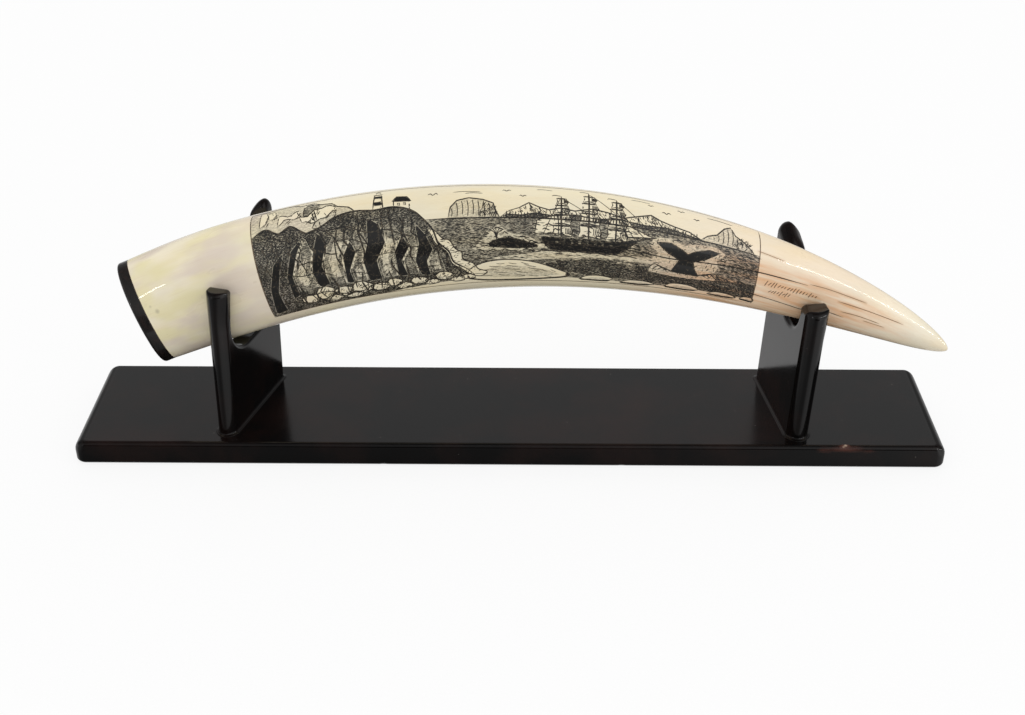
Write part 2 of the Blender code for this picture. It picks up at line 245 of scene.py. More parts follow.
def drawn_out_pattern(tree, place, size, detail, roughness, shift=(0, 0, 0), turn=(0, 0, 0), wander=0.0):
    """Uneven pattern longer one way than another, as grain is; the size is its spread on each axis."""
    stretched = add_node(tree, "ShaderNodeMapping", {
        "Vector": place, "Location": shift, "Rotation": turn, "Scale": size})
    return add_node(tree, "ShaderNodeTexNoise", {
        "Vector": stretched.outputs[0], "Scale": 1.0, "Detail": detail, "Roughness": roughness,
        "Distortion": wander})


def ink_cover(tree, drawn):
    """How much ink each spot of the engraved picture holds, from its three depths of hatching.

    The real hatching is about 0.2 mm apart, too fine to show, so it is drawn 0.5 to 0.9 mm apart.
    """
    scratches = drawn_out_pattern(tree, drawn, (0.85, 2.2, 1.0), 3.0, 0.7, turn=(0, 0, math.radians(35)))
    flecks = drawn_out_pattern(tree, drawn, (0.55, 2.1, 1.0), 3.0, 0.75, turn=(0, 0, math.radians(-8)))
    drift = add_node(tree, "ShaderNodeTexNoise", {
        "Vector": drawn, "Scale": 0.11, "Detail": 2.0, "Roughness": 0.5})
    depths = (
        ("solid_field", scratches, 0.26, 0.34, 0.72, 1.00),
        ("dark_field", scratches, 0.36, 0.50, 0.42, 1.00),
        ("middle_field", flecks, 0.36, 0.56, 0.26, 0.97),
        ("pale_field", flecks, 0.40, 0.64, 0.04, 0.62),
    )
    total = None
    for name, pattern, low, high, least, most in depths:
        field = add_node(tree, "ShaderNodeAttribute", attribute_name=name)
        inside = add_node(tree, "ShaderNodeMapRange", {
            "Value": field.outputs["Fac"], "From Min": FIELD_SOFTNESS, "From Max": -FIELD_SOFTNESS})
        shifted = add_node(tree, "ShaderNodeMath", {
            0: drift.outputs[0], 1: HATCH_DRIFT, 2: pattern.outputs[0]}, operation="MULTIPLY_ADD")
        tone = add_node(tree, "ShaderNodeMapRange", {
            "Value": shifted.outputs[0], "From Min": low + HATCH_DRIFT / 2,
            "From Max": high + HATCH_DRIFT / 2, "To Min": least, "To Max": most})
        cover = add_node(tree, "ShaderNodeMath", {
            0: inside.outputs[0], 1: tone.outputs[0]}, operation="MULTIPLY")
        if total is None:
            total = cover
        else:
            total = add_node(tree, "ShaderNodeMath", {
                0: total.outputs[0], 1: cover.outputs[0]}, operation="MAXIMUM")
    return total.outputs[0]


# Small grey spots on the butt: millimetres along, up and forward, and how far each reaches
GREY_SPOTS = ((4.4, 10.9, 19.3, 1.2), (7.2, 7.1, 20.0, 1.9))


def butt_clouds(tree, grain, share, colour):
    """Faint yellow and pinkish clouds 15 to 30 mm across on the plain butt, and two grey spots."""
    near_butt = add_node(tree, "ShaderNodeMapRange", {
        "Value": share, "From Min": 0.26, "From Max": 0.12})
    for shift, tint, low, high, most in (((2.3, 0.4, 5.1), "#E4DAA8", 0.36, 0.66, 0.75),
                                         ((7.9, 3.3, 1.2), "#DACBBD", 0.38, 0.66, 0.80)):
        blotch = drawn_out_pattern(tree, grain, (1 / 30, 1 / 13, 1 / 13), 2.0, 0.45, shift)
        cover = add_node(tree, "ShaderNodeMapRange", {
            "Value": blotch.outputs[0], "From Min": low, "From Max": high, "To Max": most},
            interpolation_type="SMOOTHERSTEP")
        part = add_node(tree, "ShaderNodeMath", {
            0: cover.outputs[0], 1: near_butt.outputs[0]}, operation="MULTIPLY")
        colour = add_node(tree, "ShaderNodeMix", {
            0: part.outputs[0], 6: colour, 7: (*hex_colour(tint), 1.0)}, data_type="RGBA").outputs[2]
    for x, y, z, reach in GREY_SPOTS:
        away = add_node(tree, "ShaderNodeVectorMath", {0: grain, 1: (x, y, z)}, operation="DISTANCE")
        part = add_node(tree, "ShaderNodeMapRange", {
            "Value": away.outputs["Value"], "From Min": reach, "From Max": reach * 0.3, "To Max": 0.45})
        colour = add_node(tree, "ShaderNodeMix", {
            0: part.outputs[0], 6: colour, 7: (*hex_colour("#8E8672"), 1.0)}, data_type="RGBA").outputs[2]
    return colour


def polished_walrus_ivory(look):
    """Walrus ivory, scraped, polished and varnished.

    Cream clouded in long soft streaks, with a warm blush in veins on the front of the tip, under a
    clear glossy coat.
    """
    material, tree, shader = new_material("polished walrus ivory")
    grain = add_node(tree, "ShaderNodeAttribute", attribute_name="grain_place").outputs["Vector"]
    drawn = add_node(tree, "ShaderNodeAttribute", attribute_name="drawn_place").outputs["Vector"]
    stain_field = add_node(tree, "ShaderNodeAttribute", attribute_name="stain_field").outputs["Fac"]
    grain_axes = add_node(tree, "ShaderNodeSeparateXYZ", {0: grain})
    along = grain_axes.outputs[0]
    round_about = add_node(tree, "ShaderNodeMath", {
        0: grain_axes.outputs[2], 1: grain_axes.outputs[1]}, operation="ARCTAN2")
    share = add_node(tree, "ShaderNodeMapRange", {
        "Value": along, "From Min": 0.0, "From Max": 465.0})
    body = add_node(tree, "ShaderNodeValToRGB", {0: share.outputs[0]}, stops=(
        (0.0, look.cream), (0.30, look.honey), (0.58, look.honey), (0.74, look.tip),
        (0.84, look.tip), (0.95, look.cream)))
    # Streaks of dentine run 40 to 70 mm along the tusk and 6 to 10 mm across it
    streak = drawn_out_pattern(tree, grain, (1 / 55, 1 / 8.5, 1 / 8.5), 4.0, 0.55, wander=0.3)
    cloud = drawn_out_pattern(tree, grain, (1 / 34, 1 / 15, 1 / 15), 3.0, 0.5, (3.1, 1.7, 0.4))
    fibre = drawn_out_pattern(tree, grain, (1 / 16, 1 / 0.9, 1 / 0.9), 3.0, 0.6)
    yellowed = add_node(tree, "ShaderNodeMapRange", {
        "Value": streak.outputs[0], "From Min": 0.44, "From Max": 0.72, "To Max": 0.42})
    warm = add_node(tree, "ShaderNodeMix", {
        0: yellowed.outputs[0], 6: body.outputs[0], 7: (*hex_colour("#E6CF9C"), 1.0)},
        data_type="RGBA")
    greyed = add_node(tree, "ShaderNodeMapRange", {
        "Value": cloud.outputs[0], "From Min": 0.46, "From Max": 0.72, "To Max": 0.34})
    cool = add_node(tree, "ShaderNodeMix", {
        0: greyed.outputs[0], 6: warm.outputs[2], 7: (*hex_colour("#D8D2C0"), 1.0)},
        data_type="RGBA")
    # The blush lies on the front of the last third, and fades from the very tip
    blush = add_node(tree, "ShaderNodeValToRGB", {0: share.outputs[0]}, stops=(
        (0.56, grey(0.0)), (0.70, grey(1.0)), (0.86, grey(1.0)), (0.95, grey(0.1))))
    in_front = add_node(tree, "ShaderNodeMapRange", {
        "Value": round_about.outputs[0], "From Min": 0.55, "From Max": 1.05},
        interpolation_type="SMOOTHERSTEP")
    # It follows the grain in veins about 35 mm long and 2 to 3 mm across
    veins = drawn_out_pattern(tree, grain, (1 / 34, 1 / 2.6, 1 / 2.6), 3.0, 0.55, (5.2, 0.8, 2.6))
    patchy = add_node(tree, "ShaderNodeMapRange", {
        "Value": veins.outputs[0], "From Min": 0.32, "From Max": 0.66, "To Min": 0.12, "To Max": 1.0})
    on_front = add_node(tree, "ShaderNodeMath", {
        0: blush.outputs[0], 1: in_front.outputs[0]}, operation="MULTIPLY")
    blushing = add_node(tree, "ShaderNodeMath", {
        0: on_front.outputs[0], 1: patchy.outputs[0]}, operation="MULTIPLY")
    rosy = add_node(tree, "ShaderNodeMix", {
        0: blushing.outputs[0], 6: cool.outputs[2], 7: (*look.blush, 1.0)}, data_type="RGBA")
    rosy = butt_clouds(tree, grain, share.outputs[0], rosy.outputs[2])
    lines = add_node(tree, "ShaderNodeMapRange", {
        "Value": fibre.outputs[0], "From Min": 0.54, "From Max": 0.76, "To Max": 0.10})
    fibred = add_node(tree, "ShaderNodeMix", {
        0: lines.outputs[0], 6: rosy, 7: (*look.stain, 1.0)}, data_type="RGBA")
    near_crack = add_node(tree, "ShaderNodeMapRange", {
        "Value": stain_field, "From Min": 1.5, "From Max": 0.0, "To Max": 0.55},
        interpolation_type="SMOOTHERSTEP")
    blotch = add_node(tree, "ShaderNodeMapRange", {
        "Value": streak.outputs[0], "From Min": 0.34, "From Max": 0.62})
    stain = add_node(tree, "ShaderNodeMath", {
        0: near_crack.outputs[0], 1: blotch.outputs[0]}, operation="MULTIPLY")
    aged = add_node(tree, "ShaderNodeMix", {
        0: stain.outputs[0], 6: fibred.outputs[2], 7: (*look.stain, 1.0)}, data_type="RGBA")
    cover = ink_cover(tree, drawn)
    inked = add_node(tree, "ShaderNodeMix", {
        0: cover, 6: aged.outputs[2], 7: (*look.ink, 1.0)}, data_type="RGBA")
    tree.links.new(inked.outputs[2], shader.inputs["Base Color"])
    gloss = add_node(tree, "ShaderNodeMapRange", {
        "Value": cloud.outputs[0], "From Min": 0.3, "From Max": 0.7, "To Min": 0.24, "To Max": 0.36})
    tree.links.new(gloss.outputs[0], shader.inputs["Roughness"])
    dip = add_node(tree, "ShaderNodeMath", {
        0: cover, 1: -0.8, 2: fibre.outputs[0]}, operation="MULTIPLY_ADD")
    surface = add_node(tree, "ShaderNodeBump", {
        "Strength": 0.35, "Distance": 0.00006, "Height": dip.outputs[0]})
    tree.links.new(surface.outputs[0], shader.inputs["Normal"])
    shader.inputs["IOR"].default_value = 1.54
    shader.inputs["Coat Weight"].default_value = 0.8
    shader.inputs["Coat Roughness"].default_value = 0.022
    shader.inputs["Coat IOR"].default_value = 1.5
    return material


def rubbed_ink(name, colour, breaks):
    """Lampblack rubbed into engraved cuts and varnished over: near black, broken by lighter flecks."""
    material, tree, shader = new_material(name)
    place = add_node(tree, "ShaderNodeTexCoord").outputs["Object"]
    fleck = add_node(tree, "ShaderNodeTexNoise", {
        "Vector": place, "Scale": 900.0, "Detail": 2.0, "Roughness": 0.6})
    spread = add_node(tree, "ShaderNodeMapRange", {
        "Value": fleck.outputs[0], "From Min": 0.45, "From Max": 0.75, "To Max": breaks})
    tone = add_node(tree, "ShaderNodeMix", {
        0: spread.outputs[0], 6: (*colour, 1.0), 7: (*hex_colour("#A08C6C"), 1.0)}, data_type="RGBA")
    tree.links.new(tone.outputs[2], shader.inputs["Base Color"])
    worn = add_node(tree, "ShaderNodeMapRange", {
        "Value": fleck.outputs[0], "From Min": 0.3, "From Max": 0.7, "To Min": 0.34, "To Max": 0.5})
    tree.links.new(worn.outputs[0], shader.inputs["Roughness"])
    surface = add_node(tree, "ShaderNodeBump", {
        "Strength": 0.2, "Distance": 0.00003, "Height": fleck.outputs[0]})
    tree.links.new(surface.outputs[0], shader.inputs["Normal"])
    shader.inputs["IOR"].default_value = 1.5
    shader.inputs["Coat Weight"].default_value = 0.5
    shader.inputs["Coat Roughness"].default_value = 0.10
    return material


def polished_dark_horn(look):
    """Dark horn, sawn and polished: brown-black, with warm patches where light sinks in."""
    material, tree, shader = new_material("polished dark horn")
    place = add_node(tree, "ShaderNodeTexCoord").outputs["Object"]
    # Growth layers of horn lie 0.5 to 1 mm apart and are drawn 1 mm apart
    layers = drawn_out_pattern(
        tree, place, (900, 140, 110), 3.0, 0.6, turn=(0, math.radians(-25), math.radians(12)))
    patches = add_node(tree, "ShaderNodeTexNoise", {
        "Vector": place, "Scale": 160.0, "Detail": 3.0, "Roughness": 0.6, "Distortion": 0.4})
    warmth = add_node(tree, "ShaderNodeMapRange", {
        "Value": patches.outputs[0], "From Min": 0.50, "From Max": 0.70, "To Max": 0.25})
    warm = add_node(tree, "ShaderNodeMix", {
        0: warmth.outputs[0], 6: (*look.horn, 1.0), 7: (*look.glow, 1.0)}, data_type="RGBA")
    seen = add_node(tree, "ShaderNodeMapRange", {
        "Value": layers.outputs[0], "From Min": 0.45, "From Max": 0.75, "To Max": 0.35})
    layered = add_node(tree, "ShaderNodeMix", {
        0: seen.outputs[0], 6: warm.outputs[2], 7: (*hex_colour("#0B0908"), 1.0)}, data_type="RGBA")
    tree.links.new(layered.outputs[2], shader.inputs["Base Color"])
    gloss = add_node(tree, "ShaderNodeMapRange", {
        "Value": patches.outputs[0], "From Min": 0.3, "From Max": 0.7, "To Min": 0.16, "To Max": 0.26})
    tree.links.new(gloss.outputs[0], shader.inputs["Roughness"])
    surface = add_node(tree, "ShaderNodeBump", {
        "Strength": 0.3, "Distance": 0.00004, "Height": layers.outputs[0]})
    tree.links.new(surface.outputs[0], shader.inputs["Normal"])
    shader.inputs["IOR"].default_value = 1.55
    shader.inputs["Coat Weight"].default_value = 0.5
    shader.inputs["Coat Roughness"].default_value = 0.03
    return material


def black_lacquered_wood(look):
    """Wood sprayed with black lacquer and rubbed down.

    Even satin black with the faintest dimpling, dust specks, and red-brown wood where an edge wore.
    """
    material, tree, shader = new_material("black lacquered wood")
    place = add_node(tree, "ShaderNodeTexCoord").outputs["Object"]
    haze = add_node(tree, "ShaderNodeTexNoise", {
        "Vector": place, "Scale": 22.0, "Detail": 4.0, "Roughness": 0.6})
    # Pores under the lacquer run along the board, 8 mm long and 0.4 mm wide, drawn 0.8 mm wide
    pores = drawn_out_pattern(tree, place, (110, 1200, 1200), 2.0, 0.5)
    specks = add_node(tree, "ShaderNodeTexVoronoi", {"Vector": place, "Scale": 95.0})
    dimples = add_node(tree, "ShaderNodeTexNoise", {
        "Vector": place, "Scale": 420.0, "Detail": 2.0, "Roughness": 0.5})
    worn_field = add_node(tree, "ShaderNodeAttribute", attribute_name="worn").outputs["Fac"]
    brown_haze = add_node(tree, "ShaderNodeMapRange", {
        "Value": haze.outputs[0], "From Min": 0.45, "From Max": 0.75, "To Max": 0.14})
    warm = add_node(tree, "ShaderNodeMix", {
        0: brown_haze.outputs[0], 6: (*look.lacquer, 1.0), 7: (*look.wood, 1.0)}, data_type="RGBA")
    ragged = add_node(tree, "ShaderNodeMath", {
        0: pores.outputs[0], 1: -0.5, 2: worn_field}, operation="MULTIPLY_ADD")
    bare = add_node(tree, "ShaderNodeMapRange", {
        "Value": ragged.outputs[0], "From Min": 0.0, "From Max": 0.55, "To Max": 0.9})
    worn = add_node(tree, "ShaderNodeMix", {
        0: bare.outputs[0], 6: warm.outputs[2], 7: (*look.wood, 1.0)}, data_type="RGBA")
    fresh = add_node(tree, "ShaderNodeMapRange", {
        "Value": worn_field, "From Min": 1.1, "From Max": 1.8})
    chipped = add_node(tree, "ShaderNodeMix", {
        0: fresh.outputs[0], 6: worn.outputs[2], 7: (*hex_colour("#C9B29A"), 1.0)}, data_type="RGBA")
    dust = add_node(tree, "ShaderNodeMapRange", {
        "Value": specks.outputs["Distance"], "From Min": 0.045, "From Max": 0.02, "To Max": 0.35})
    dusty = add_node(tree, "ShaderNodeMix", {
        0: dust.outputs[0], 6: chipped.outputs[2], 7: (*hex_colour("#77716B"), 1.0)}, data_type="RGBA")
    tree.links.new(dusty.outputs[2], shader.inputs["Base Color"])
    gloss = add_node(tree, "ShaderNodeMapRange", {
        "Value": haze.outputs[0], "From Min": 0.3, "From Max": 0.7, "To Min": 0.10, "To Max": 0.22})
    duller = add_node(tree, "ShaderNodeMath", {
        0: bare.outputs[0], 1: 0.3, 2: gloss.outputs[0]}, operation="MULTIPLY_ADD")
    tree.links.new(duller.outputs[0], shader.inputs["Roughness"])
    relief = add_node(tree, "ShaderNodeMath", {
        0: pores.outputs[0], 1: 0.5, 2: dimples.outputs[0]}, operation="MULTIPLY_ADD")
    surface = add_node(tree, "ShaderNodeBump", {
        "Strength": 0.12, "Distance": 0.00004, "Height": relief.outputs[0]})
    tree.links.new(surface.outputs[0], shader.inputs["Normal"])
    shader.inputs["IOR"].default_value = 1.5
    return material


def face_outwards(shape):
    bmesh.ops.recalc_face_normals(shape, faces=shape.faces)
    if shape.calc_volume(signed=True) < 0.0:
        bmesh.ops.reverse_faces(shape, faces=shape.faces)


def add_object(name, mesh, material):
    mesh.materials.append(material)
    mesh.shade_smooth()
    mesh.set_sharp_from_angle(angle=math.radians(50))
    piece = bpy.data.objects.new(name, mesh)
    bpy.context.collection.objects.link(piece)
    return piece


def add_shape(name, shape, material):
    face_outwards(shape)
    mesh = bpy.data.meshes.new(name)
    shape.to_mesh(mesh)
    shape.free()
    piece = add_object(name, mesh, material)
    # The broad flat faces keep a flat gleam right up to their rounded rims
    level = piece.modifiers.new("flat gleam", "WEIGHTED_NORMAL")
    level.keep_sharp = True
    return piece


def mesh_from_arrays(name, places, faces):
    mesh = bpy.data.meshes.new(name)
    mesh.from_pydata([tuple(place) for place in places], [], faces)
    mesh.validate()
    mesh.update()
    return mesh


def store(mesh, name, kind, values):
    """Keep a value for every vertex, for the material to read."""
    layer = mesh.attributes.new(name, kind, "POINT")
    field = "vector" if kind == "FLOAT_VECTOR" else "value"
    layer.data.foreach_set(field, np.ascontiguousarray(values, dtype=np.float32).ravel())


def rounded_outline(corners):
    """Closed outline through corners (a, b, radius): each sharp corner becomes an arc."""
    points = []
    count = len(corners)
    for index, (a, b, radius) in enumerate(corners):
        here = Vector((a, b))
        if radius <= 0.0:
            points.append(here)
            continue
        before = Vector(corners[index - 1][:2]) - here
        after = Vector(corners[(index + 1) % count][:2]) - here
        half_angle = before.angle(after) / 2
        reach = radius / math.tan(half_angle)
        start = here + before.normalized() * reach
        middle = (before.normalized() + after.normalized()).normalized()
        centre = here + middle * (radius / math.sin(half_angle))
        first = start - centre
        swing = first.angle_signed(here + after.normalized() * reach - centre)
        for step in range(ARC_STEPS + 1):
            turned = first.copy()
            turned.rotate(Matrix.Rotation(-swing * step / ARC_STEPS, 2))
            points.append(centre + turned)
    return points


def with_short_edges(outline, longest):
    """The same outline with its long straight runs cut into short edges."""
    points = []
    for index, here in enumerate(outline):
        after = outline[(index + 1) % len(outline)]
        cuts = max(1, round((after - here).length / longest))
        points.extend(here.lerp(after, cut / cuts) for cut in range(cuts))
    return points


def skin(shape, rings):
    """Join rings of vertices into a tube."""
    for ring, following in zip(rings, rings[1:]):
        for index in range(len(ring)):
            after = (index + 1) % len(ring)
            shape.faces.new((ring[index], ring[after], following[after], following[index]))


def board_levels():
    """Heights of the board's outlines, close together where an edge is round."""
    levels = set()
    for radius, base, sign in ((BOARD_FOOT_ROUND, 0.0, 1), (BOARD_SIDE_ROUND, BOARD_THICKNESS, -1),
                               (BOARD_END_ROUND, BOARD_THICKNESS, -1)):
        for step in range(ROUND_STEPS + 1):
            turn = math.pi / 2 * step / ROUND_STEPS
            levels.add(round(base + sign * radius * (1 - math.cos(turn)), 6))
    return sorted(levels)


def edge_inset(height, top_round):
    """How far a rounded edge has drawn in at a height."""
    inset = 0.0
    for radius, depth in ((top_round, BOARD_THICKNESS - height), (BOARD_FOOT_ROUND, height)):
        rest = max(radius - depth, 0.0)
        inset += radius - math.sqrt(radius ** 2 - rest ** 2)
    return inset


# Wear of the board: knocks as (x, y, z, radius, depth) and rubbed places as (x, y, z, reach, amount)
BOARD_KNOCKS = (
    (0.1882, -0.0410, 0.0137, 0.0016, 0.0005),
    (0.2380, -0.0345, 0.0150, 0.0009, 0.0003),
    (-0.0710, -0.0414, 0.0012, 0.0022, 0.0004),
    (0.0630, -0.0412, 0.0010, 0.0018, 0.0004),
    (-0.2010, -0.0408, 0.0140, 0.0014, 0.0003),
)
BOARD_CHIP = (0.1872, -0.0400, 0.0147)
BOARD_RUBS = (
    (0.1880, -0.0412, 0.0130, 0.0160, 0.85),
    (0.1760, -0.0412, 0.0125, 0.0090, 0.60),
    (0.2010, -0.0412, 0.0120, 0.0080, 0.55),
    (-0.2330, 0.0380, 0.0140, 0.0060, 0.35),
)


def board_wear(place):
    """Inward dent and rubbing at a place on the board's skin."""
    dent = 0.0
    for x, y, z, radius, depth in BOARD_KNOCKS:
        away = (place - Vector((x, y, z))).length / radius
        dent += depth * max(1.0 - away, 0.0)
    rub = 0.0
    for x, y, z, reach, amount in BOARD_RUBS:
        stretched = Vector(((place.x - x) / reach, (place.y - y) / RUB_HEIGHT, (place.z - z) / RUB_HEIGHT))
        rub = max(rub, amount * max(1.0 - stretched.length, 0.0))
    return dent, rub


def lacquered_board():
    """The board as stacked outlines, with short edges so that knocks can dent it."""
    shape = bmesh.new()
    rings = []
    for height in board_levels():
        end_inset = edge_inset(height, BOARD_END_ROUND)
        half_x = BOARD_LENGTH / 2 - end_inset
        half_y = BOARD_DEPTH / 2 - edge_inset(height, BOARD_SIDE_ROUND)
        front = BOARD_FRONT_CORNER - end_inset / 2
        back = BOARD_BACK_CORNER - end_inset / 2
        outline = rounded_outline([(-half_x, -half_y, front), (half_x, -half_y, front),
                                   (half_x, half_y, back), (-half_x, half_y, back)])
        short = matched_cuts(outline)
        rings.append([shape.verts.new((p.x, p.y, height)) for p in short])
    skin(shape, rings)
    shape.faces.new(rings[0])
    shape.faces.new(rings[-1])
    rubs = []
    for vert in shape.verts:
        dent, rub = board_wear(vert.co)
        chip = max(1.0 - (vert.co - Vector(BOARD_CHIP)).length / CHIP_REACH, 0.0)
        rubs.append(rub + 2.0 * chip)
        if dent > 0.0:
            core = Vector((vert.co.x, 0.0, BOARD_THICKNESS / 2))
            vert.co += (core - vert.co).normalized() * dent
    return shape, rubs


def matched_cuts(outline):
    """Cut every outline of the board into the same number of edges, so that their rings match."""
    points = []
    side = ARC_STEPS + 1
    for index, here in enumerate(outline):
        after = outline[(index + 1) % len(outline)]
        corner_ends = index % side == side - 1
        if not corner_ends:
            points.append(here)
            continue
        run = BOARD_LENGTH if (index // side) % 2 == 0 else BOARD_DEPTH
        cuts = round(run / EDGE_STEP)
        points.extend(here.lerp(after, cut / cuts) for cut in range(cuts))
    return points


def taper(share):
    """Share of the full section at a share of the length; the butt itself is drawn in a little."""
    drawn_in = BUTT_DRAW * np.maximum(1.0 - np.asarray(share) / BUTT_DRAW_REACH, 0.0) ** 2
    return (1.0 - drawn_in) * np.maximum(1.0 - np.asarray(share) ** TAPER_POWER, 0.0) ** TAPER_ROOT


def neck_height(cut):
    """Where the front prong starts to swell towards its tip, above the round of the notch."""
    return max(cut["front_top"] - SWELL_REACH, cut["floor"] + cut["notch_radius"] + GLUE_GAP)


def upright_outline(cut):
    """Side view of an upright: a runs from its front edge to its back, b upwards."""
    reach_left = float(taper(min(cut["reach"] / TUSK_CHORD, 1.0)))
    depth = 2 * TUSK_HALF_DEPTH * reach_left + cut["slack"]
    askew = cut["thickness"] * math.sin(abs(cut["toe_in"]))
    width = (depth + askew) / math.cos(cut["toe_in"])
    inner_back = cut["front_depth"] + width
    inner_radius = UPRIGHT_DEPTH - inner_back - BACK_EDGE_RADIUS
    neck = neck_height(cut)
    return rounded_outline([
        (0.0, 0.0, 0.0),
        (0.0, neck, 0.0),
        (0.0, cut["front_top"], cut["front_radius"]),
        (cut["front_depth"], cut["front_top"], cut["front_radius"]),
        (cut["front_depth"], neck, 0.0),
        (cut["front_depth"], cut["floor"], cut["notch_radius"]),
        (inner_back, cut["floor"], cut["notch_radius"]),
        (inner_back, cut["back_inner_top"], inner_radius),
        (UPRIGHT_DEPTH, cut["back_top"], BACK_EDGE_RADIUS),
        (UPRIGHT_DEPTH, 0.0, 0.0),
    ])


def upright_frame(cut):
    """From (thickness, depth, height) in the upright to the stand's own axes."""
    move = Matrix.Translation((cut["middle"], 0.0, BOARD_THICKNESS + GLUE_GAP))
    turn = Matrix.Rotation(-cut["toe_in"], 4, "Z")
    shear = Matrix.Identity(4)
    shear[0][2] = math.tan(cut["lean"])
    return move @ shear @ turn


def shape_prongs(shape, cut):
    """Swell the front tip, round the front to a bull nose, and pare the back tip to a crest."""
    thickness = cut["thickness"]
    neck = neck_height(cut)
    for vert in shape.verts:
        depth = vert.co.y + FRONT_REACH
        across = vert.co.x / (thickness / 2)
        if depth < cut["front_depth"] + GLUE_GAP and across > 0.0 and vert.co.z > neck:
            climb = (vert.co.z - neck) / (cut["front_top"] - neck)
            vert.co.x += cut["front_swell"] * climb * across
        if depth < FRONT_BOW_DEPTH:
            vert.co.y += FRONT_BOW * across ** 2 * (1.0 - depth / FRONT_BOW_DEPTH)
        if vert.co.y > 0.0 and vert.co.z > cut["front_top"]:
            climb = (vert.co.z - cut["front_top"]) / (cut["back_top"] - cut["front_top"])
            place = 0.5 + cut["outer_side"] * across / 2
            outward = max(place - cut["back_crest"], 0.0) / (1.0 - cut["back_crest"])
            inward = max(cut["back_crest"] - place, 0.0) / cut["back_crest"]
            fall = BACK_TIP_PARING * outward ** cut["back_curve"] + INNER_TIP_PARING * inward ** 2
            vert.co.z -= fall * climb


def rim_rounds(cut):
    """Radius of the rounded rim on each face of an upright."""
    return {cut["outer_side"]: OUTER_EDGE_ROUND, -cut["outer_side"]: cut["inner_round"]}


def lacquered_upright(cut):
    """An upright sawn from a board, its rims rounded and its prongs shaped by hand."""
    thickness = cut["thickness"]
    shape = bmesh.new()
    outline = with_short_edges(upright_outline(cut), EDGE_STEP * 2)
    rims = rim_rounds(cut)
    flat = np.linspace(-thickness / 2 + rims[-1] + GLUE_GAP, thickness / 2 - rims[1] - GLUE_GAP, LAYERS)
    layers = []
    for across in (-thickness / 2, *flat, thickness / 2):
        layers.append([shape.verts.new((across, p.x - FRONT_REACH, p.y)) for p in outline])
    skin(shape, layers)
    shape.faces.new(layers[0])
    shape.faces.new(layers[-1])
    face_outwards(shape)
    for side, radius in rims.items():
        rim = [edge for edge in shape.edges
               if all(abs(vert.co.x - side * thickness / 2) < 1e-6 for vert in edge.verts)
               and max(vert.co.z for vert in edge.verts) > 1e-6]
        bmesh.ops.bevel(shape, geom=rim, offset=radius, offset_type="OFFSET", segments=ROUND_STEPS,
                        profile=0.5, affect="EDGES", clamp_overlap=True)
    shape_prongs(shape, cut)
    bmesh.ops.transform(shape, matrix=upright_frame(cut), verts=shape.verts)
    return shape


def foot_outline(cut):
    """Plan of an upright's foot, bull-nosed in front."""
    half = cut["thickness"] / 2
    corners = []
    for share in np.linspace(-1.0, 1.0, 2 * ARC_STEPS + 1):
        radius = rim_rounds(cut)[1 if share > 0.0 else -1]
        inset = max(abs(share) * half - half + radius, 0.0)
        depth = radius - math.sqrt(max(radius ** 2 - inset ** 2, 0.0))
        depth += FRONT_BOW * share ** 2 * (1.0 - depth / FRONT_BOW_DEPTH)
        corners.append((half * share, depth - FRONT_REACH, 0.0))
    rear = UPRIGHT_DEPTH - FRONT_REACH
    return rounded_outline([*corners, (half, rear, OUTER_EDGE_ROUND), (-half, rear, OUTER_EDGE_ROUND)])


def lacquer_bead(cut, width):
    """Lacquer pooled in the corner between a foot and the board."""
    foot = with_short_edges(foot_outline(cut), EDGE_STEP)
    ways = []
    for index, here in enumerate(foot):
        run = foot[(index + 1) % len(foot)] - foot[index - 1]
        ways.append(Vector((run.y, -run.x)).normalized())
    place = upright_frame(cut)
    shape = bmesh.new()
    rings = []
    under = -GLUE_GAP + 0.00005
    profile = [(-0.0009, under), (-0.0004, width * 0.62)]
    for step in range(ROUND_STEPS + 1):
        turn = math.pi / 2 * step / ROUND_STEPS
        profile.append((width * (1 - math.cos(turn)), width * 0.55 * (1 - math.sin(turn))))
    profile.append((width * 1.15, under))
    for out, up in profile:
        rings.append([shape.verts.new(place @ Vector((*(point + way * out), max(up, under))))
                      for point, way in zip(foot, ways)])
    rings.append(rings[0])
    skin(shape, rings)
    return shape


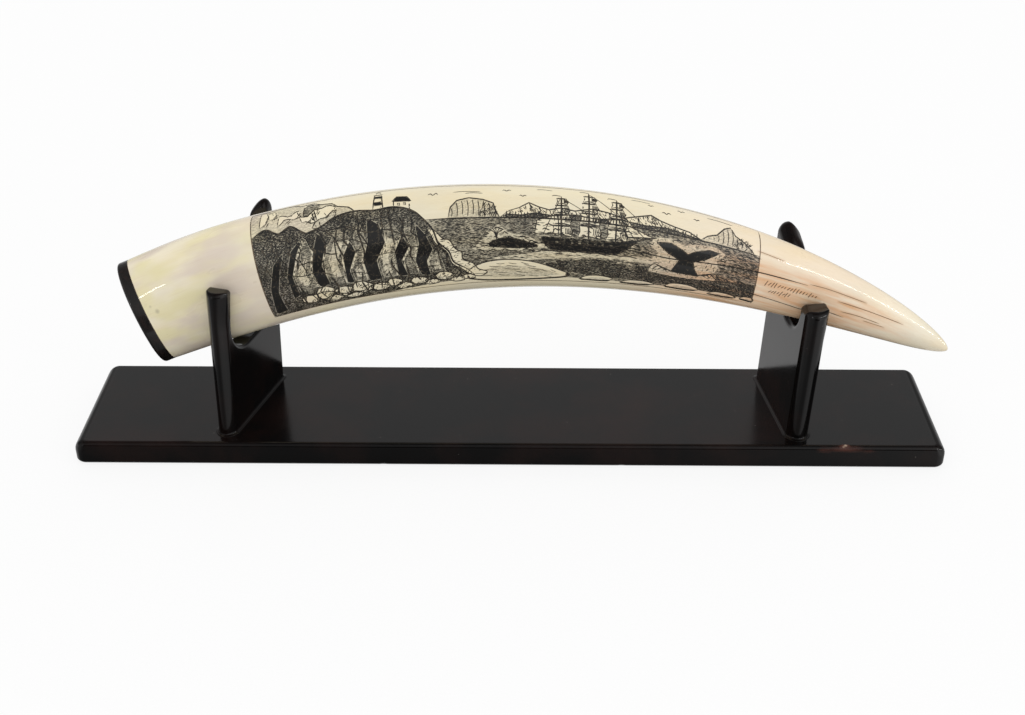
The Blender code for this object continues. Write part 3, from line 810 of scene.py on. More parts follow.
class TuskForm:
    """The tusk's smooth surface: arch, taper and butt cut, the same as the solid that it dresses."""

    def __init__(self):
        step = np.linspace(0.0, 1.0, SPINE_STEPS)[:, None]
        butt = np.zeros(2)
        tip = np.array([TUSK_CHORD, 0.0])
        rise = butt + BUTT_PULL * TUSK_CHORD * np.array([math.cos(BUTT_RISE), math.sin(BUTT_RISE)])
        fall = tip + TIP_PULL * TUSK_CHORD * np.array([-math.cos(TIP_FALL), math.sin(TIP_FALL)])
        self.spine = ((1 - step) ** 3 * butt + 3 * (1 - step) ** 2 * step * rise
                      + 3 * (1 - step) * step ** 2 * fall + step ** 3 * tip)
        legs = np.linalg.norm(np.diff(self.spine, axis=0), axis=1)
        self.lengths = np.concatenate([[0.0], np.cumsum(legs)])
        self.length = self.lengths[-1]
        lean = np.gradient(self.spine, axis=0)
        self.slopes = np.arctan2(lean[:, 1], lean[:, 0])
        place = (Matrix.Translation(TUSK_START) @ Matrix.Rotation(TUSK_YAW, 4, "Z")
                 @ Matrix.Rotation(TUSK_PITCH, 4, "Y"))
        self.place = np.array(place)
        self.angles = np.radians(np.linspace(-180.0, 360.0, GIRTH_STEPS))
        girth = np.hypot(TUSK_HALF_HEIGHT * np.sin(self.angles), TUSK_HALF_DEPTH * np.cos(self.angles))
        self.arcs = np.concatenate([[0.0], np.cumsum((girth[1:] + girth[:-1]) / 2 * np.diff(self.angles))])
        self.foot, self.top = (np.interp(math.radians(angle), self.angles, self.arcs)
                               for angle in (SHEET_FOOT_ANGLE, SHEET_TOP_ANGLE))

    def points(self, along, angle, lift=0.0):
        """Places at millimetres along the tusk and degrees round it, zero on top and 90 in front."""
        share = np.clip(np.asarray(along) * MM / self.length, 0.0, TIP_END)
        turn = np.radians(angle)
        x = np.interp(share * self.length, self.lengths, self.spine[:, 0])
        z = np.interp(share * self.length, self.lengths, self.spine[:, 1])
        slope = np.interp(share * self.length, self.lengths, self.slopes)
        fade = np.maximum(1.0 - share / BUTT_CUT_REACH, 0.0) ** 2
        slope = slope + BUTT_CUT_SKEW * fade
        yaw = BUTT_CUT_TURN * fade
        left = taper(share / TIP_END)
        up = np.stack([-np.sin(slope), 0 * slope, np.cos(slope)], -1)
        front = np.stack([np.sin(yaw), -np.cos(yaw), 0 * yaw], -1)
        rise = np.cos(turn)
        reach = np.sin(turn)
        away = (up * (rise / TUSK_HALF_HEIGHT)[..., None] + front * (reach / TUSK_HALF_DEPTH)[..., None])
        away /= np.linalg.norm(away, axis=-1, keepdims=True)
        # Scraping leaves the surface very slightly uneven, always a little inside the full form
        uneven = SCRAPED_UNEVEN * (np.sin(3 * turn + 9 * share) + 0.7 * np.sin(5 * turn - 31 * share) - 1.7)
        calm = np.clip(share / CALM_BUTT, 0.0, 1.0) * np.clip((1 - share) / CALM_TIP, 0.0, 1.0)
        local = (np.stack([x, 0 * x, z], -1) + up * (TUSK_HALF_HEIGHT * left * rise)[..., None]
                 + front * (TUSK_HALF_DEPTH * left * reach)[..., None]
                 + away * (uneven * calm + lift * MM)[..., None])
        return local @ self.place[:3, :3].T + self.place[:3, 3]

    def sheet_up(self, angle):
        """Height on the picture sheet of an angle round the tusk."""
        here = np.interp(np.radians(angle), self.angles, self.arcs)
        return (self.foot - here) / (self.foot - self.top) * SHEET_HEIGHT

    def angle_at(self, up):
        here = self.foot - np.asarray(up) / SHEET_HEIGHT * (self.foot - self.top)
        return np.degrees(np.interp(here, self.arcs, self.angles))

    def borders(self, up):
        """Where the picture's left and right borders stand along the tusk, at a height."""
        climb = np.clip(np.asarray(up) / SHEET_HEIGHT, 0.0, 1.0)
        left = LEFT_BORDER[0] + (LEFT_BORDER[1] - LEFT_BORDER[0]) * climb
        right = RIGHT_BORDER[0] + (RIGHT_BORDER[1] - RIGHT_BORDER[0]) * climb
        return left, right

    def to_sheet(self, along, angle):
        up = self.sheet_up(angle)
        left, right = self.borders(up)
        return (np.asarray(along) - left) / (right - left) * SHEET_WIDTH, up

    def from_sheet(self, across, up):
        left, right = self.borders(up)
        return left + (right - left) * np.asarray(across) / SHEET_WIDTH, self.angle_at(up)

    def squeeze(self, across):
        """Real millimetres in a millimetre of the sheet's height, which shrinks with the taper."""
        along = SHEET_START + np.asarray(across) * (SHEET_END - SHEET_START) / SHEET_WIDTH
        full = (self.foot - self.top) / MM / SHEET_HEIGHT
        return full * taper(np.clip(along * MM / self.length, 0.0, 0.999))

    def laid_flat(self, across, up):
        """Places of the sheet as they lie on the tusk, in real millimetres both ways."""
        return np.stack([across, up * self.squeeze(across)], 1)


def smooth_path(points, step=STROKE_STEP):
    """Points at an even step along a smooth curve through the given ones."""
    points = np.asarray(points, float)
    if len(points) > 2:
        padded = np.vstack([2 * points[0] - points[1], points, 2 * points[-1] - points[-2]])
        rows = []
        for index in range(len(points) - 1):
            a, b, c, d = padded[index:index + 4]
            for t in np.linspace(0.0, 1.0, 8, endpoint=False):
                rows.append(0.5 * (2 * b + (c - a) * t + (2 * a - 5 * b + 4 * c - d) * t ** 2
                                   + (3 * b - a - 3 * c + d) * t ** 3))
        points = np.array(rows + [points[-1]])
    run = np.concatenate([[0.0], np.cumsum(np.linalg.norm(np.diff(points, axis=0), axis=1))])
    count = max(3, int(round(run[-1] / step)) + 1)
    even = np.linspace(0.0, run[-1], count)
    return np.stack([np.interp(even, run, points[:, 0]), np.interp(even, run, points[:, 1])], 1)


def edge_distance(places, outline):
    """Distance of places to an outline's edges, less than nothing inside it."""
    x, y = places[:, 0], places[:, 1]
    nearest = np.full(len(places), 1e9)
    inside = np.zeros(len(places), bool)
    for (ax, ay), (bx, by) in zip(outline, np.roll(outline, -1, axis=0)):
        edge = (bx - ax) ** 2 + (by - ay) ** 2 + 1e-12
        part = np.clip(((x - ax) * (bx - ax) + (y - ay) * (by - ay)) / edge, 0.0, 1.0)
        nearest = np.minimum(nearest, np.hypot(x - ax - part * (bx - ax), y - ay - part * (by - ay)))
        crosses = (ay > y) != (by > y)
        slant = (bx - ax) * (y - ay) / np.where(by == ay, 1e-12, by - ay) + ax
        inside ^= crosses & (x < slant)
    return np.where(inside, -nearest, nearest)


class Picture:
    """Everything engraved in the band: strokes by group, and hatched areas laid one over another."""

    def __init__(self, line, fine):
        self.line = line
        self.fine = fine
        self.strokes = {}
        self.areas = []
        self.chance = random.Random(11)

    def stroke(self, group, points, width=None, bend=True):
        self.strokes.setdefault(group, []).append((points, width or self.line, bend))

    def outline(self, group, points, width=None, bend=True):
        self.stroke(group, list(points) + [points[0]], width, bend)

    def area(self, depth, points):
        self.areas.append((depth, np.asarray(points, float)))

    def shape(self, group, depth, points, width=None, bend=True):
        """An outlined area. A bent one is filled to its smooth outline."""
        closed = list(points) + [points[0]]
        self.area(depth, smooth_path(closed)[:-1] if bend else points)
        self.stroke(group, closed, width, bend)

    def flecks(self, group, zone, count, slant, spread, length, avoid=()):
        """Short engraved flecks scattered over a zone, all leaning much the same way."""
        zone = np.asarray(zone, float)
        low, high = zone.min(0), zone.max(0)
        places = np.array([[self.chance.uniform(low[0], high[0]), self.chance.uniform(low[1], high[1])]
                           for _ in range(count)])
        kept = edge_distance(places, zone) < -0.4
        for blank in avoid:
            kept &= edge_distance(places, np.asarray(blank, float)) > 0.3
        for x, y in places[kept]:
            lean = math.radians(slant + self.chance.gauss(0.0, spread))
            reach = length * self.chance.uniform(0.5, 1.3) / 2
            dx, dy = math.cos(lean) * reach, math.sin(lean) * reach
            bow = self.chance.uniform(-0.15, 0.15) * reach
            self.stroke(group, [(x - dx, y - dy), (x - dy * bow, y + dx * bow), (x + dx, y + dy)],
                        self.fine * self.chance.uniform(0.7, 1.1), False)


CLIFF = [(0, 0), (0, 50), (8, 53), (15, 49), (22, 51.5), (30, 46), (38, 48), (46, 52), (56, 53.5),
         (66, 52.4), (76, 53), (85, 50), (91, 44), (95, 38), (97, 31), (102, 25), (104, 18), (110, 13),
         (114, 8), (104, 4), (92, 3), (78, 1.5), (64, 0)]
UPLAND = [(0, 50), (8, 53), (15, 49), (22, 51.5), (30, 46), (38, 48), (46, 52), (56, 53.5), (53, 56.5),
          (47, 58.2), (44, 61), (38, 61.8), (34, 64), (27, 63.6), (24, 65.6), (0, 65.6)]
SURF = [(92, 39), (96, 37.5), (99.5, 33), (103, 31.5), (105.5, 26.5), (108.6, 24), (109, 19.4), (114, 16.4),
        (116.4, 12), (121, 9.6), (117, 6.2), (111.5, 8.6), (108, 12.6), (103, 17), (101, 24.5), (95.5, 30.5),
        (93.6, 36)]
# Boulders at the foot of the cliff: middle across and up, half width and half height
BOULDERS = ((24, 7.5, 5.0, 3.6), (33, 9.5, 6.0, 4.4), (43, 8.0, 5.6, 3.8), (37, 4.2, 5.0, 2.6),
            (53, 8.6, 6.4, 4.2), (48, 3.9, 4.6, 2.4), (63, 6.6, 5.2, 3.4), (71, 8.2, 4.6, 3.0),
            (76, 4.6, 5.0, 2.6), (84, 7.0, 5.0, 3.2), (91, 4.8, 4.0, 2.2), (98, 8.6, 5.4, 3.2),
            (105, 5.0, 4.0, 2.2), (111, 6.4, 3.8, 2.2))
# Faces of the cliff that stand out from its hatching, deepest first
CLIFF_FACETS = (
    ("solid", ([(2, 2), (9, 3), (8, 17), (12, 29), (17, 40), (9, 33), (4, 20)],
               [(15, 10), (19, 12), (18, 24), (23, 36), (29, 46), (20, 38), (15, 25)],
               [(31, 14), (37, 15), (35, 27), (39, 38), (36, 46), (32, 36), (29, 24)],
               [(46, 13), (50, 13), (49, 21), (54, 31), (52, 38), (47, 30)],
               [(58, 12), (65, 12), (64, 24), (70, 34), (68, 44), (62, 49), (61, 36), (57, 25)],
               [(74, 12), (79, 12), (77, 22), (82, 30), (79, 37), (74, 28)],
               [(86, 11), (91, 10), (90, 20), (94, 27), (91, 36), (86, 43), (87, 31), (84, 21)])),
    ("middle", ([(20, 14), (30, 15), (28, 24), (31, 36), (29, 43), (23, 34), (19, 24)],
                [(38, 16), (45, 14), (46, 28), (52, 40), (46, 45), (40, 37), (36, 27)],
                [(51, 14), (57, 13), (56, 25), (60, 37), (58, 47), (54, 40), (55, 31), (50, 21)],
                [(66, 13), (73, 13), (73, 27), (78, 38), (74, 45), (70, 42), (71, 33), (65, 24)],
                [(80, 13), (85, 12), (83, 22), (86, 31), (84, 41), (80, 40), (83, 30), (78, 22)],
                [(92, 12), (99, 12), (98, 20), (96, 26), (91, 20)])),
    ("pale", ([(22, 17), (27, 18), (25, 24), (28, 33), (24, 31), (21, 24)],
              [(40, 19), (44, 18), (43, 27), (48, 37), (44, 39), (39, 29)],
              [(67, 16), (71, 15), (70, 25), (75, 35), (72, 36), (67, 24)],
              [(52, 16), (56, 16), (54, 23), (52, 21)],
              [(93, 14), (97, 14), (96, 19), (94, 19)])),
)
SEA = [(91, 44), (130, 43.6), (175, 43.8), (220, 43.4), (265, 43.6), (265, 4.2), (226, 3.2),
       (190, 2.6), (160, 4), (114, 8), (110, 13), (104, 18), (102, 25), (97, 31), (95, 38)]
NEAR_WATER = [(150, 15), (164, 18.6), (182, 20), (198, 18), (216, 20), (240, 18), (265, 20), (265, 5),
              (236, 4), (206, 5), (176, 6), (160, 10)]
LIT_WATER = [(124, 19.4), (140, 21.2), (152, 23.6), (170, 24.4), (190, 24), (206, 25), (216, 23), (208, 20.6),
             (192, 21.4), (172, 20.8), (158, 19), (148, 18), (134, 17.4)]
SPRAY = [(206, 15.5), (209, 20), (207.5, 25), (211, 29.5), (206, 34), (208.5, 39.5), (217, 40.4), (224, 37),
         (230, 40), (241, 41), (246.5, 37.5), (242, 32), (243, 26), (240.5, 21), (243, 16), (234, 14.4),
         (224, 13.6), (214, 14)]
GREAT_FLOE = [(110, 5), (112, 12), (120, 16.5), (132, 18), (145, 16.4), (156, 12), (165, 6.2),
              (152, 3), (134, 1.8), (120, 2.4)]
SMALL_FLOES = (
    [(170, 3), (174, 6.2), (181, 7), (188, 5), (184, 2.6)],
    [(192, 2.2), (197, 5), (206, 5.4), (211, 3.4), (203, 1.8)],
    [(216, 3), (220, 7), (229, 7.6), (235, 4.6), (228, 2.6)],
    [(240, 2.4), (244, 5.6), (252, 5.6), (256, 3.2), (249, 2)],
    [(258, 3.4), (260, 6.2), (265, 6.4), (265, 2.6)],
)
TABLE_BERG = [(103, 43.6), (104.5, 50), (108, 54), (114, 55.4), (121, 54.2), (126, 52), (127.5, 47),
              (129, 43.7)]
PEAK_BERG = [(232, 43.5), (236, 47.5), (241, 50), (245, 56), (248.5, 58.5), (251, 53), (256, 50),
             (260, 46), (262, 43.5)]
FAR_COAST = [(129, 43.6), (134, 47.6), (139, 49.4), (144, 52.6), (149, 50.2), (154, 48.8), (160, 50.4),
             (167, 49.2), (176, 51.6), (184, 50.4), (192, 48.4), (199, 50.8), (206, 53.2), (211, 50.6),
             (218, 48.6), (226, 47.2), (233, 43.5)]
FAR_CLIFFS = [(129, 43.6), (133, 45.8), (140, 45.2), (147, 46.6), (156, 45.4), (166, 46.8), (178, 45.6),
              (190, 46.9), (203, 45.8), (214, 46.7), (224, 45.2), (233, 43.5)]


def bed_height(across, bed):
    """A rock bed's uneven edge, shared by the beds on both its sides."""
    return 1.1 * math.sin(0.33 * across + 2.1 * bed) + 0.7 * math.sin(0.81 * across + 1.3 * bed)


def rock_face(picture, outline, dip, depths):
    """Fractured rock: slanting beds split into uneven blocks, each hatched to its own depth.

    The depths are (share of the blocks, depth) in order; a block takes the first that it falls under.
    """
    group = "engraved_rocks"
    outline = np.asarray(outline, float)
    lean = math.radians(dip)
    turn = np.array([[math.cos(lean), math.sin(lean)], [-math.sin(lean), math.cos(lean)]])
    low, high = (outline @ turn.T).min(0), (outline @ turn.T).max(0)
    level = low[1]
    bed = 0
    while level < high[1]:
        tall = picture.chance.uniform(3.6, 7.4)
        across = low[0] - picture.chance.uniform(0.0, 8.0)
        while across < high[0]:
            wide = picture.chance.uniform(4.5, 13.0)
            lean_over = picture.chance.uniform(-1.6, 1.6)
            foot = [(x, level + bed_height(x, bed)) for x in np.arange(across, across + wide, 2.2)]
            crown = [(x + lean_over, level + tall + bed_height(x + lean_over, bed + 1))
                     for x in np.arange(across + wide - 0.6, across, -2.2)]
            block = np.array(foot + crown) @ turn
            if edge_distance(block, outline).max() < 0.4:
                draw_block(picture, group, block, depths)
            across += wide
        level += tall
        bed += 1


def draw_block(picture, group, block, depths):
    """One block of pale rock: its outline, a few splits, and shade on its lower right."""
    luck = picture.chance.random()
    depth = next((name for share, name in depths if luck < share), "middle")
    points = [tuple(point) for point in block]
    picture.area(depth, points)
    picture.outline(group, points, picture.line * picture.chance.uniform(0.7, 1.2), bend=False)
    crack_rock(picture, block)
    low, high = block.min(0), block.max(0)
    shade = [(low[0] + (high[0] - low[0]) * 0.35, low[1]), (high[0], low[1]), (high[0], high[1]),
             (high[0] - (high[0] - low[0]) * 0.25, low[1] + (high[1] - low[1]) * 0.5)]
    picture.flecks(group, shade, int((high[0] - low[0]) * (high[1] - low[1]) * 0.6), 58.0, 10.0, 2.4)


def draw_boulder(picture, x, y, half_width, half_height):
    """A pale boulder with a bold outline, splits and a shaded lower right side."""
    group = "engraved_headland"
    ring = [(x + half_width * math.cos(turn) * (1 + 0.14 * math.sin(3 * turn + x)),
             y + half_height * math.sin(turn) * (1 + 0.12 * math.cos(2 * turn + y)))
            for turn in np.linspace(0.0, 2 * math.pi, 9, endpoint=False)]
    picture.shape(group, "bare", ring, picture.line * 1.15, bend=False)
    crack_rock(picture, ring)
    shade = [(x - half_width * 0.3, y - half_height), (x + half_width, y - half_height * 0.8),
             (x + half_width, y + half_height * 0.4), (x + half_width * 0.3, y - half_height * 0.2)]
    picture.flecks(group, shade, int(half_width * half_height * 3), 58.0, 10.0, 1.8)


def draw_headland(picture):
    """Dark cleft cliffs at the left, pale boulders at their foot and a rough pale upland above."""
    picture.shape("engraved_headland", "pale", UPLAND, bend=False)
    picture.area("dark", CLIFF)
    picture.stroke("engraved_headland", CLIFF[1:19], picture.line * 1.4)
    for depth, facets in CLIFF_FACETS:
        for facet in facets:
            picture.area(depth, facet)
    draw_clefts(picture)
    picture.flecks("engraved_cliff_hatching", CLIFF, 1100, 62.0, 20.0, 2.8)
    picture.shape("engraved_surf", "bare", SURF)
    picture.flecks("engraved_surf", SURF, 110, 40.0, 40.0, 1.6)
    rock_face(picture, UPLAND, 11.0, ((0.62, "bare"), (0.90, "pale")))
    for boulder in BOULDERS:
        draw_boulder(picture, *boulder)


def draw_clefts(picture):
    """Steep clefts and slanting beds across the cliff, as bold broken strokes."""
    cliff = np.asarray(CLIFF, float)
    for x in np.arange(5.0, 108.0, 4.6):
        path = [(x + picture.chance.gauss(0.0, 1.5) + (52 - y) * 0.10, y)
                for y in np.arange(52.0, 3.0, -picture.chance.uniform(4.5, 7.0))]
        run = [point for point in path if edge_distance(np.array([point]), cliff)[0] < -0.6]
        cut = picture.chance.randint(1, 3)
        for piece in (run[:len(run) // 2 + cut - 1], run[len(run) // 2 + cut:]):
            if len(piece) > 1:
                width = picture.line * picture.chance.uniform(0.9, 1.7)
                picture.stroke("engraved_clefts", piece, width, False)
    for level in np.arange(10.0, 66.0, 6.5):
        path = [(x, level - 0.22 * x + 1.2 * math.sin(0.3 * x + level)) for x in np.arange(3.0, 108.0, 3.2)]
        piece = []
        for point in path:
            if edge_distance(np.array([point]), cliff)[0] < -0.6 and picture.chance.random() < 0.8:
                piece.append(point)
                continue
            if len(piece) > 1:
                width = picture.line * picture.chance.uniform(0.6, 1.1)
                picture.stroke("engraved_clefts", piece, width, False)
            piece = []


def crack_rock(picture, ledge):
    """Slanting splits across a pale rock."""
    ledge = np.asarray(ledge, float)
    low, high = ledge.min(0), ledge.max(0)
    spread = high - low
    for _ in range(max(2, int(spread[0] * spread[1] / 22))):
        start = np.array([picture.chance.uniform(low[0], high[0]), picture.chance.uniform(low[1], high[1])])
        lean = math.radians(picture.chance.choice((-52, -38, 30, 64)) + picture.chance.gauss(0, 9))
        run = picture.chance.uniform(2.0, 6.0)
        path = [start + np.array([math.cos(lean), math.sin(lean)]) * run * t
                + np.array([picture.chance.gauss(0, 0.35), picture.chance.gauss(0, 0.35)])
                for t in (0.0, 0.35, 0.7, 1.0)]
        kept = [tuple(p) for p in path if edge_distance(p[None, :], ledge)[0] < 0.0]
        if len(kept) > 1:
            picture.stroke("engraved_headland", kept, picture.fine * picture.chance.uniform(0.8, 1.3))


def draw_lighthouse(picture):
    """A round tower with a lantern on the cliff top, and the keeper's house beside it."""
    group = "engraved_lighthouse"
    foot, top, middle = 52.6, 62.2, 68.0
    picture.shape(group, "bare", [(middle - 2.6, foot), (middle - 1.7, top), (middle + 1.7, top),
                                  (middle + 2.6, foot)], bend=False)
    for low, high in ((2.2, 4.6), (6.8, 8.6)):
        picture.area("solid", [(middle - 2.3, foot + low), (middle - 2.0, foot + high),
                               (middle + 2.0, foot + high), (middle + 2.3, foot + low)])
    for step in range(5):
        picture.stroke(group, [(middle + 1.2 - step * 0.12, foot + 1 + step * 1.8),
                               (middle + 1.9 - step * 0.14, foot + 1.2 + step * 1.8)], picture.fine)
    picture.stroke(group, [(middle - 2.4, top), (middle + 2.4, top)])
    picture.outline(group, [(middle - 1.1, top), (middle - 1.1, top + 1.9), (middle + 1.1, top + 1.9),
                            (middle + 1.1, top)], picture.fine, bend=False)
    picture.stroke(group, [(middle - 1.5, top + 1.9), (middle, top + 3.0), (middle + 1.5, top + 1.9)],
                   bend=False)
    house = [(76, 53), (76, 56.4), (84, 55.8), (84, 51)]
    picture.shape(group, "bare", house, bend=False)
    picture.shape(group, "solid", [(75.2, 56.4), (77.6, 59.2), (82.8, 58.6), (84.8, 55.7)], bend=False)
    for window in (78, 81):
        picture.shape(group, "dark", [(window, 53.6), (window, 55), (window + 1.1, 54.9),
                                      (window + 1.1, 53.5)], picture.fine, bend=False)


def draw_water(picture):
    """Open water from the cliffs to the right border, with ice floes along the bottom."""
    picture.area("middle", SEA)
    picture.area("dark", NEAR_WATER)
    picture.area("pale", LIT_WATER)
    picture.stroke("engraved_water", [(91, 44), (130, 43.6), (175, 43.8), (220, 43.4), (265, 43.6)])
    for floe in (GREAT_FLOE, *SMALL_FLOES):
        picture.shape("engraved_ice", "bare", floe)
        middle = np.mean(floe, axis=0)
        picture.area("pale", [tuple(middle + (np.array(point) - middle) * (0.8, 0.6) + (1.2, -0.9))
                              for point in floe])
        low = [point for point in smooth_path(list(floe) + [floe[0]], 1.2)
               if point[1] < np.mean([p[1] for p in floe]) - 0.8]
        if len(low) > 2:
            low.sort(key=lambda point: point[0])
            picture.stroke("engraved_ice", [(x, y - 0.35) for x, y in low], picture.line * 1.9)
    for start, length, rise in ((114, 30, 8.5), (118, 34, 11.0), (122, 26, 13.4), (126, 18, 15.2),
                                (118, 24, 6.2), (136, 20, 5.0), (146, 12, 9.6)):
        for part in range(3):
            left = start + length * (part * 0.36)
            picture.stroke("engraved_ice", [(left, rise + 0.4 * part), (left + length * 0.13, rise - 0.3),
                                            (left + length * 0.25, rise - 0.5 * part)], picture.fine * 0.8)
    blanks = (GREAT_FLOE, *SMALL_FLOES, SPRAY, LIT_WATER)
    picture.flecks("engraved_water", SEA, 1500, -4.0, 14.0, 2.6, blanks)
    picture.flecks("engraved_water", NEAR_WATER, 500, 8.0, 22.0, 2.6, blanks)
    picture.flecks("engraved_water", LIT_WATER, 130, -3.0, 8.0, 3.4)
    for row in range(13):
        level = 8.5 + row * 2.6
        across = 100 + picture.chance.uniform(0.0, 8.0)
        while across < 259:
            wide = picture.chance.uniform(3.0, 8.0) * (1.25 - row * 0.05)
            crest = [(across, level), (across + wide * 0.35, level + 0.9), (across + wide * 0.6, level + 0.3),
                     (across + wide, level - 0.2)]
            middle = np.array([crest[1]])
            open_water = all(edge_distance(middle, np.asarray(blank, float))[0] > 1.0 for blank in blanks)
            if open_water and edge_distance(middle, np.asarray(SEA, float))[0] < -1.2:
                picture.stroke("engraved_water", crest, picture.fine * 1.4)
                picture.area("pale", [
                    (across + wide * 0.1, level + 0.5), (across + wide * 0.35, level + 1.7),
                    (across + wide * 0.7, level + 0.9), (across + wide * 0.35, level + 1.0)])
            across += wide + picture.chance.uniform(1.5, 7.0)


def draw_icebergs(picture):
    """A flat-topped berg and a peaked one on the horizon, with a far snowy coast between them."""
    picture.shape("engraved_shore", "bare", FAR_COAST, bend=False)
    for (x, y), (after_x, after_y) in zip(FAR_COAST, FAR_COAST[1:]):
        fall = y - 45.5
        if fall > 2.0:
            slope = [(x, y), (after_x, after_y), (after_x - 1.5, 45.6), (x - 1.5, 45.6)]
            picture.flecks("engraved_shore", slope, int(9 * fall), -58.0, 9.0, 2.0)
            picture.stroke("engraved_shore", [(x, y), (x + 0.8, y - fall * 0.4), (x + 0.3, y - fall * 0.75)],
                           picture.fine)
    picture.shape("engraved_shore", "dark", FAR_CLIFFS, bend=False)
    for across in np.arange(131.0, 231.0, 1.5):
        tall = 1.4 + 2.2 * picture.chance.random()
        picture.stroke("engraved_shore", [(across, 43.9), (across + 0.2, 43.9 + tall)], picture.fine * 1.3)
    for berg, splits in ((TABLE_BERG, 9), (PEAK_BERG, 11)):
        picture.shape("engraved_ice", "pale", berg, bend=False)
        low = min(p[0] for p in berg)
        high = max(p[0] for p in berg)
        for index in range(splits):
            across = low + (high - low) * (index + 0.7) / (splits + 0.6)
            crown = np.interp(across, [p[0] for p in berg], [p[1] for p in berg])
            picture.stroke("engraved_ice", [(across, crown - 0.8), (across + 0.5, (crown + 44.5) / 2),
                                            (across + 0.1, 44.2 + picture.chance.uniform(0, 2))],
                           picture.fine)
        wide = high - low
        lee = [(low + wide * 0.55, 44.2), (high, 44.0), (high - 1.5, 50.0), (low + wide * 0.7, 53.5)]
        picture.flecks("engraved_ice", lee, 130, 64.0, 8.0, 2.6)


def sail(picture, foot_left, foot_right, head_left, head_right, belly):
    """One square sail, bellied to the right, with a seam and shading on its lee side."""
    group = "engraved_ship"
    sag = (foot_left[0] + foot_right[0]) / 2, foot_left[1] + belly * 0.8
    leech = (foot_right[0] + head_right[0]) / 2 + belly, (foot_right[1] + head_right[1]) / 2
    luff = (foot_left[0] + head_left[0]) / 2 + belly * 0.6, (foot_left[1] + head_left[1]) / 2
    cloth = [foot_left, sag, foot_right, leech, head_right, head_left, luff]
    picture.shape(group, "bare", cloth, picture.line * 0.85, bend=False)
    picture.stroke(group, [head_left, head_right], picture.line * 1.2)
    wide = head_right[0] - head_left[0]
    tall = head_left[1] - foot_left[1]
    for step in range(5):
        across = leech[0] - 0.5 - step * wide * 0.09
        picture.stroke(group, [(across - belly * 0.4, foot_left[1] + tall * 0.18), (across, leech[1]),
                               (across - belly * 0.4, foot_left[1] + tall * 0.86)], picture.fine)


def draw_ship(picture):
    """A three-masted ship under full sail in the middle of the picture."""
    group = "engraved_ship"
    hull = [(150, 33.2), (150.8, 29.6), (153.5, 26.2), (159, 24.6), (186, 24.6), (191.5, 26.6),
            (195.5, 30.4), (198.4, 35), (189, 32.8), (172, 31.6), (158, 32.2)]
    picture.shape(group, "solid", hull)
    picture.stroke(group, [(151, 30.6), (160, 28.9), (175, 28.5), (188, 29.8), (196, 33)], picture.fine)
    picture.stroke(group, [(198, 34.8), (209.5, 39.2)], picture.line)
    for port in range(8):
        picture.area("bare", [(157 + port * 4, 29.4), (158.6 + port * 4, 29.4), (158.6 + port * 4, 30.4),
                              (157 + port * 4, 30.4)])
    masts = ((160.0, 56.0, 0.86), (174.0, 61.0, 1.0), (188.0, 58.0, 0.92))
    for foot, head, size in masts:
        picture.stroke(group, [(foot, 31.8), (foot + 0.3, head + 2.2)], picture.line * 1.3)
        level = 33.6
        for row, (wide, tall) in enumerate(((11.0, 7.2), (9.6, 6.8), (7.6, 5.6), (5.6, 4.4))):
            wide *= size
            tall *= size
            narrow = wide * 0.84
            sail(picture, (foot - wide / 2, level), (foot + wide / 2 + 0.6, level),
                 (foot - narrow / 2, level + tall), (foot + narrow / 2 + 0.6, level + tall), 1.1)
            level += tall + 0.75
    for tack, low, high in ((207.8, 38.6, 45.5), (203.6, 37.0, 50.5)):
        picture.shape(group, "bare", [(tack, low), (190.4, high), (193.6, 36.8)], picture.fine * 1.2,
                      bend=False)
    picture.shape(group, "bare", [(146.5, 34.4), (147.8, 42.5), (158.6, 46.5), (158.8, 35)],
                  picture.fine * 1.2, bend=False)
    for start, end in (((160.2, 57), (174, 48)), ((174.2, 62), (188, 50)), ((188.2, 59.5), (209.2, 39.2)),
                       ((160, 57), (150.6, 33.6)), ((188, 52), (198.4, 35))):
        picture.stroke(group, [start, end], picture.fine * 0.8)
    for foot, head, _size in masts:
        picture.stroke(group, [(foot + 0.3, head + 2.2), (foot - 3.2, head + 2.6), (foot - 4.4, head + 1.9)],
                       picture.fine)
    for step in range(6):
        picture.stroke(group, [(150 + step * 8, 23.9 - step % 2 * 0.5), (155 + step * 8, 24.1),
                               (160 + step * 8, 23.4)], picture.line)


def draw_whales(picture):
    """One whale sounding with its flukes up, and another blowing beyond the great floe."""
    group = "engraved_whales"
    flukes = [(218, 17), (220.4, 22.5), (222.2, 27), (216, 30.5), (209.5, 36.5), (217, 37.4), (223.6, 34),
              (226.4, 31.8), (230, 34.6), (237.5, 38), (243, 37.4), (236, 31), (229.6, 27.2), (230.6, 22),
              (233.4, 17)]
    picture.area("pale", SPRAY)
    picture.flecks(group, SPRAY, 150, 80.0, 24.0, 2.2)
    picture.shape(group, "solid", flukes, picture.line, bend=False)
    for side in (-1, 1):
        for step in range(4):
            picture.stroke(group, [(225.6 + side * (6 + step * 1.6), 17 + step * 0.4),
                                   (225.6 + side * (9 + step * 2.4), 18.4 + step),
                                   (225.6 + side * (12 + step * 2.6), 17.2)], picture.fine * 1.2)
    back = [(121, 27), (126, 30.4), (133, 31.8), (141, 30), (148, 26.6), (136, 25.6)]
    picture.area("pale", [(114, 25), (120, 31), (128, 40), (134, 34.5), (144, 32.4), (154, 26.4),
                          (138, 24.2)])
    picture.shape(group, "solid", back)
    for lean in (-2.4, -1.2, 0.0, 1.3, 2.6):
        picture.stroke(group, [(127, 31), (127 + lean * 0.4, 35), (127 + lean * 1.6, 38.6 - abs(lean) * 0.6)],
                       picture.fine)


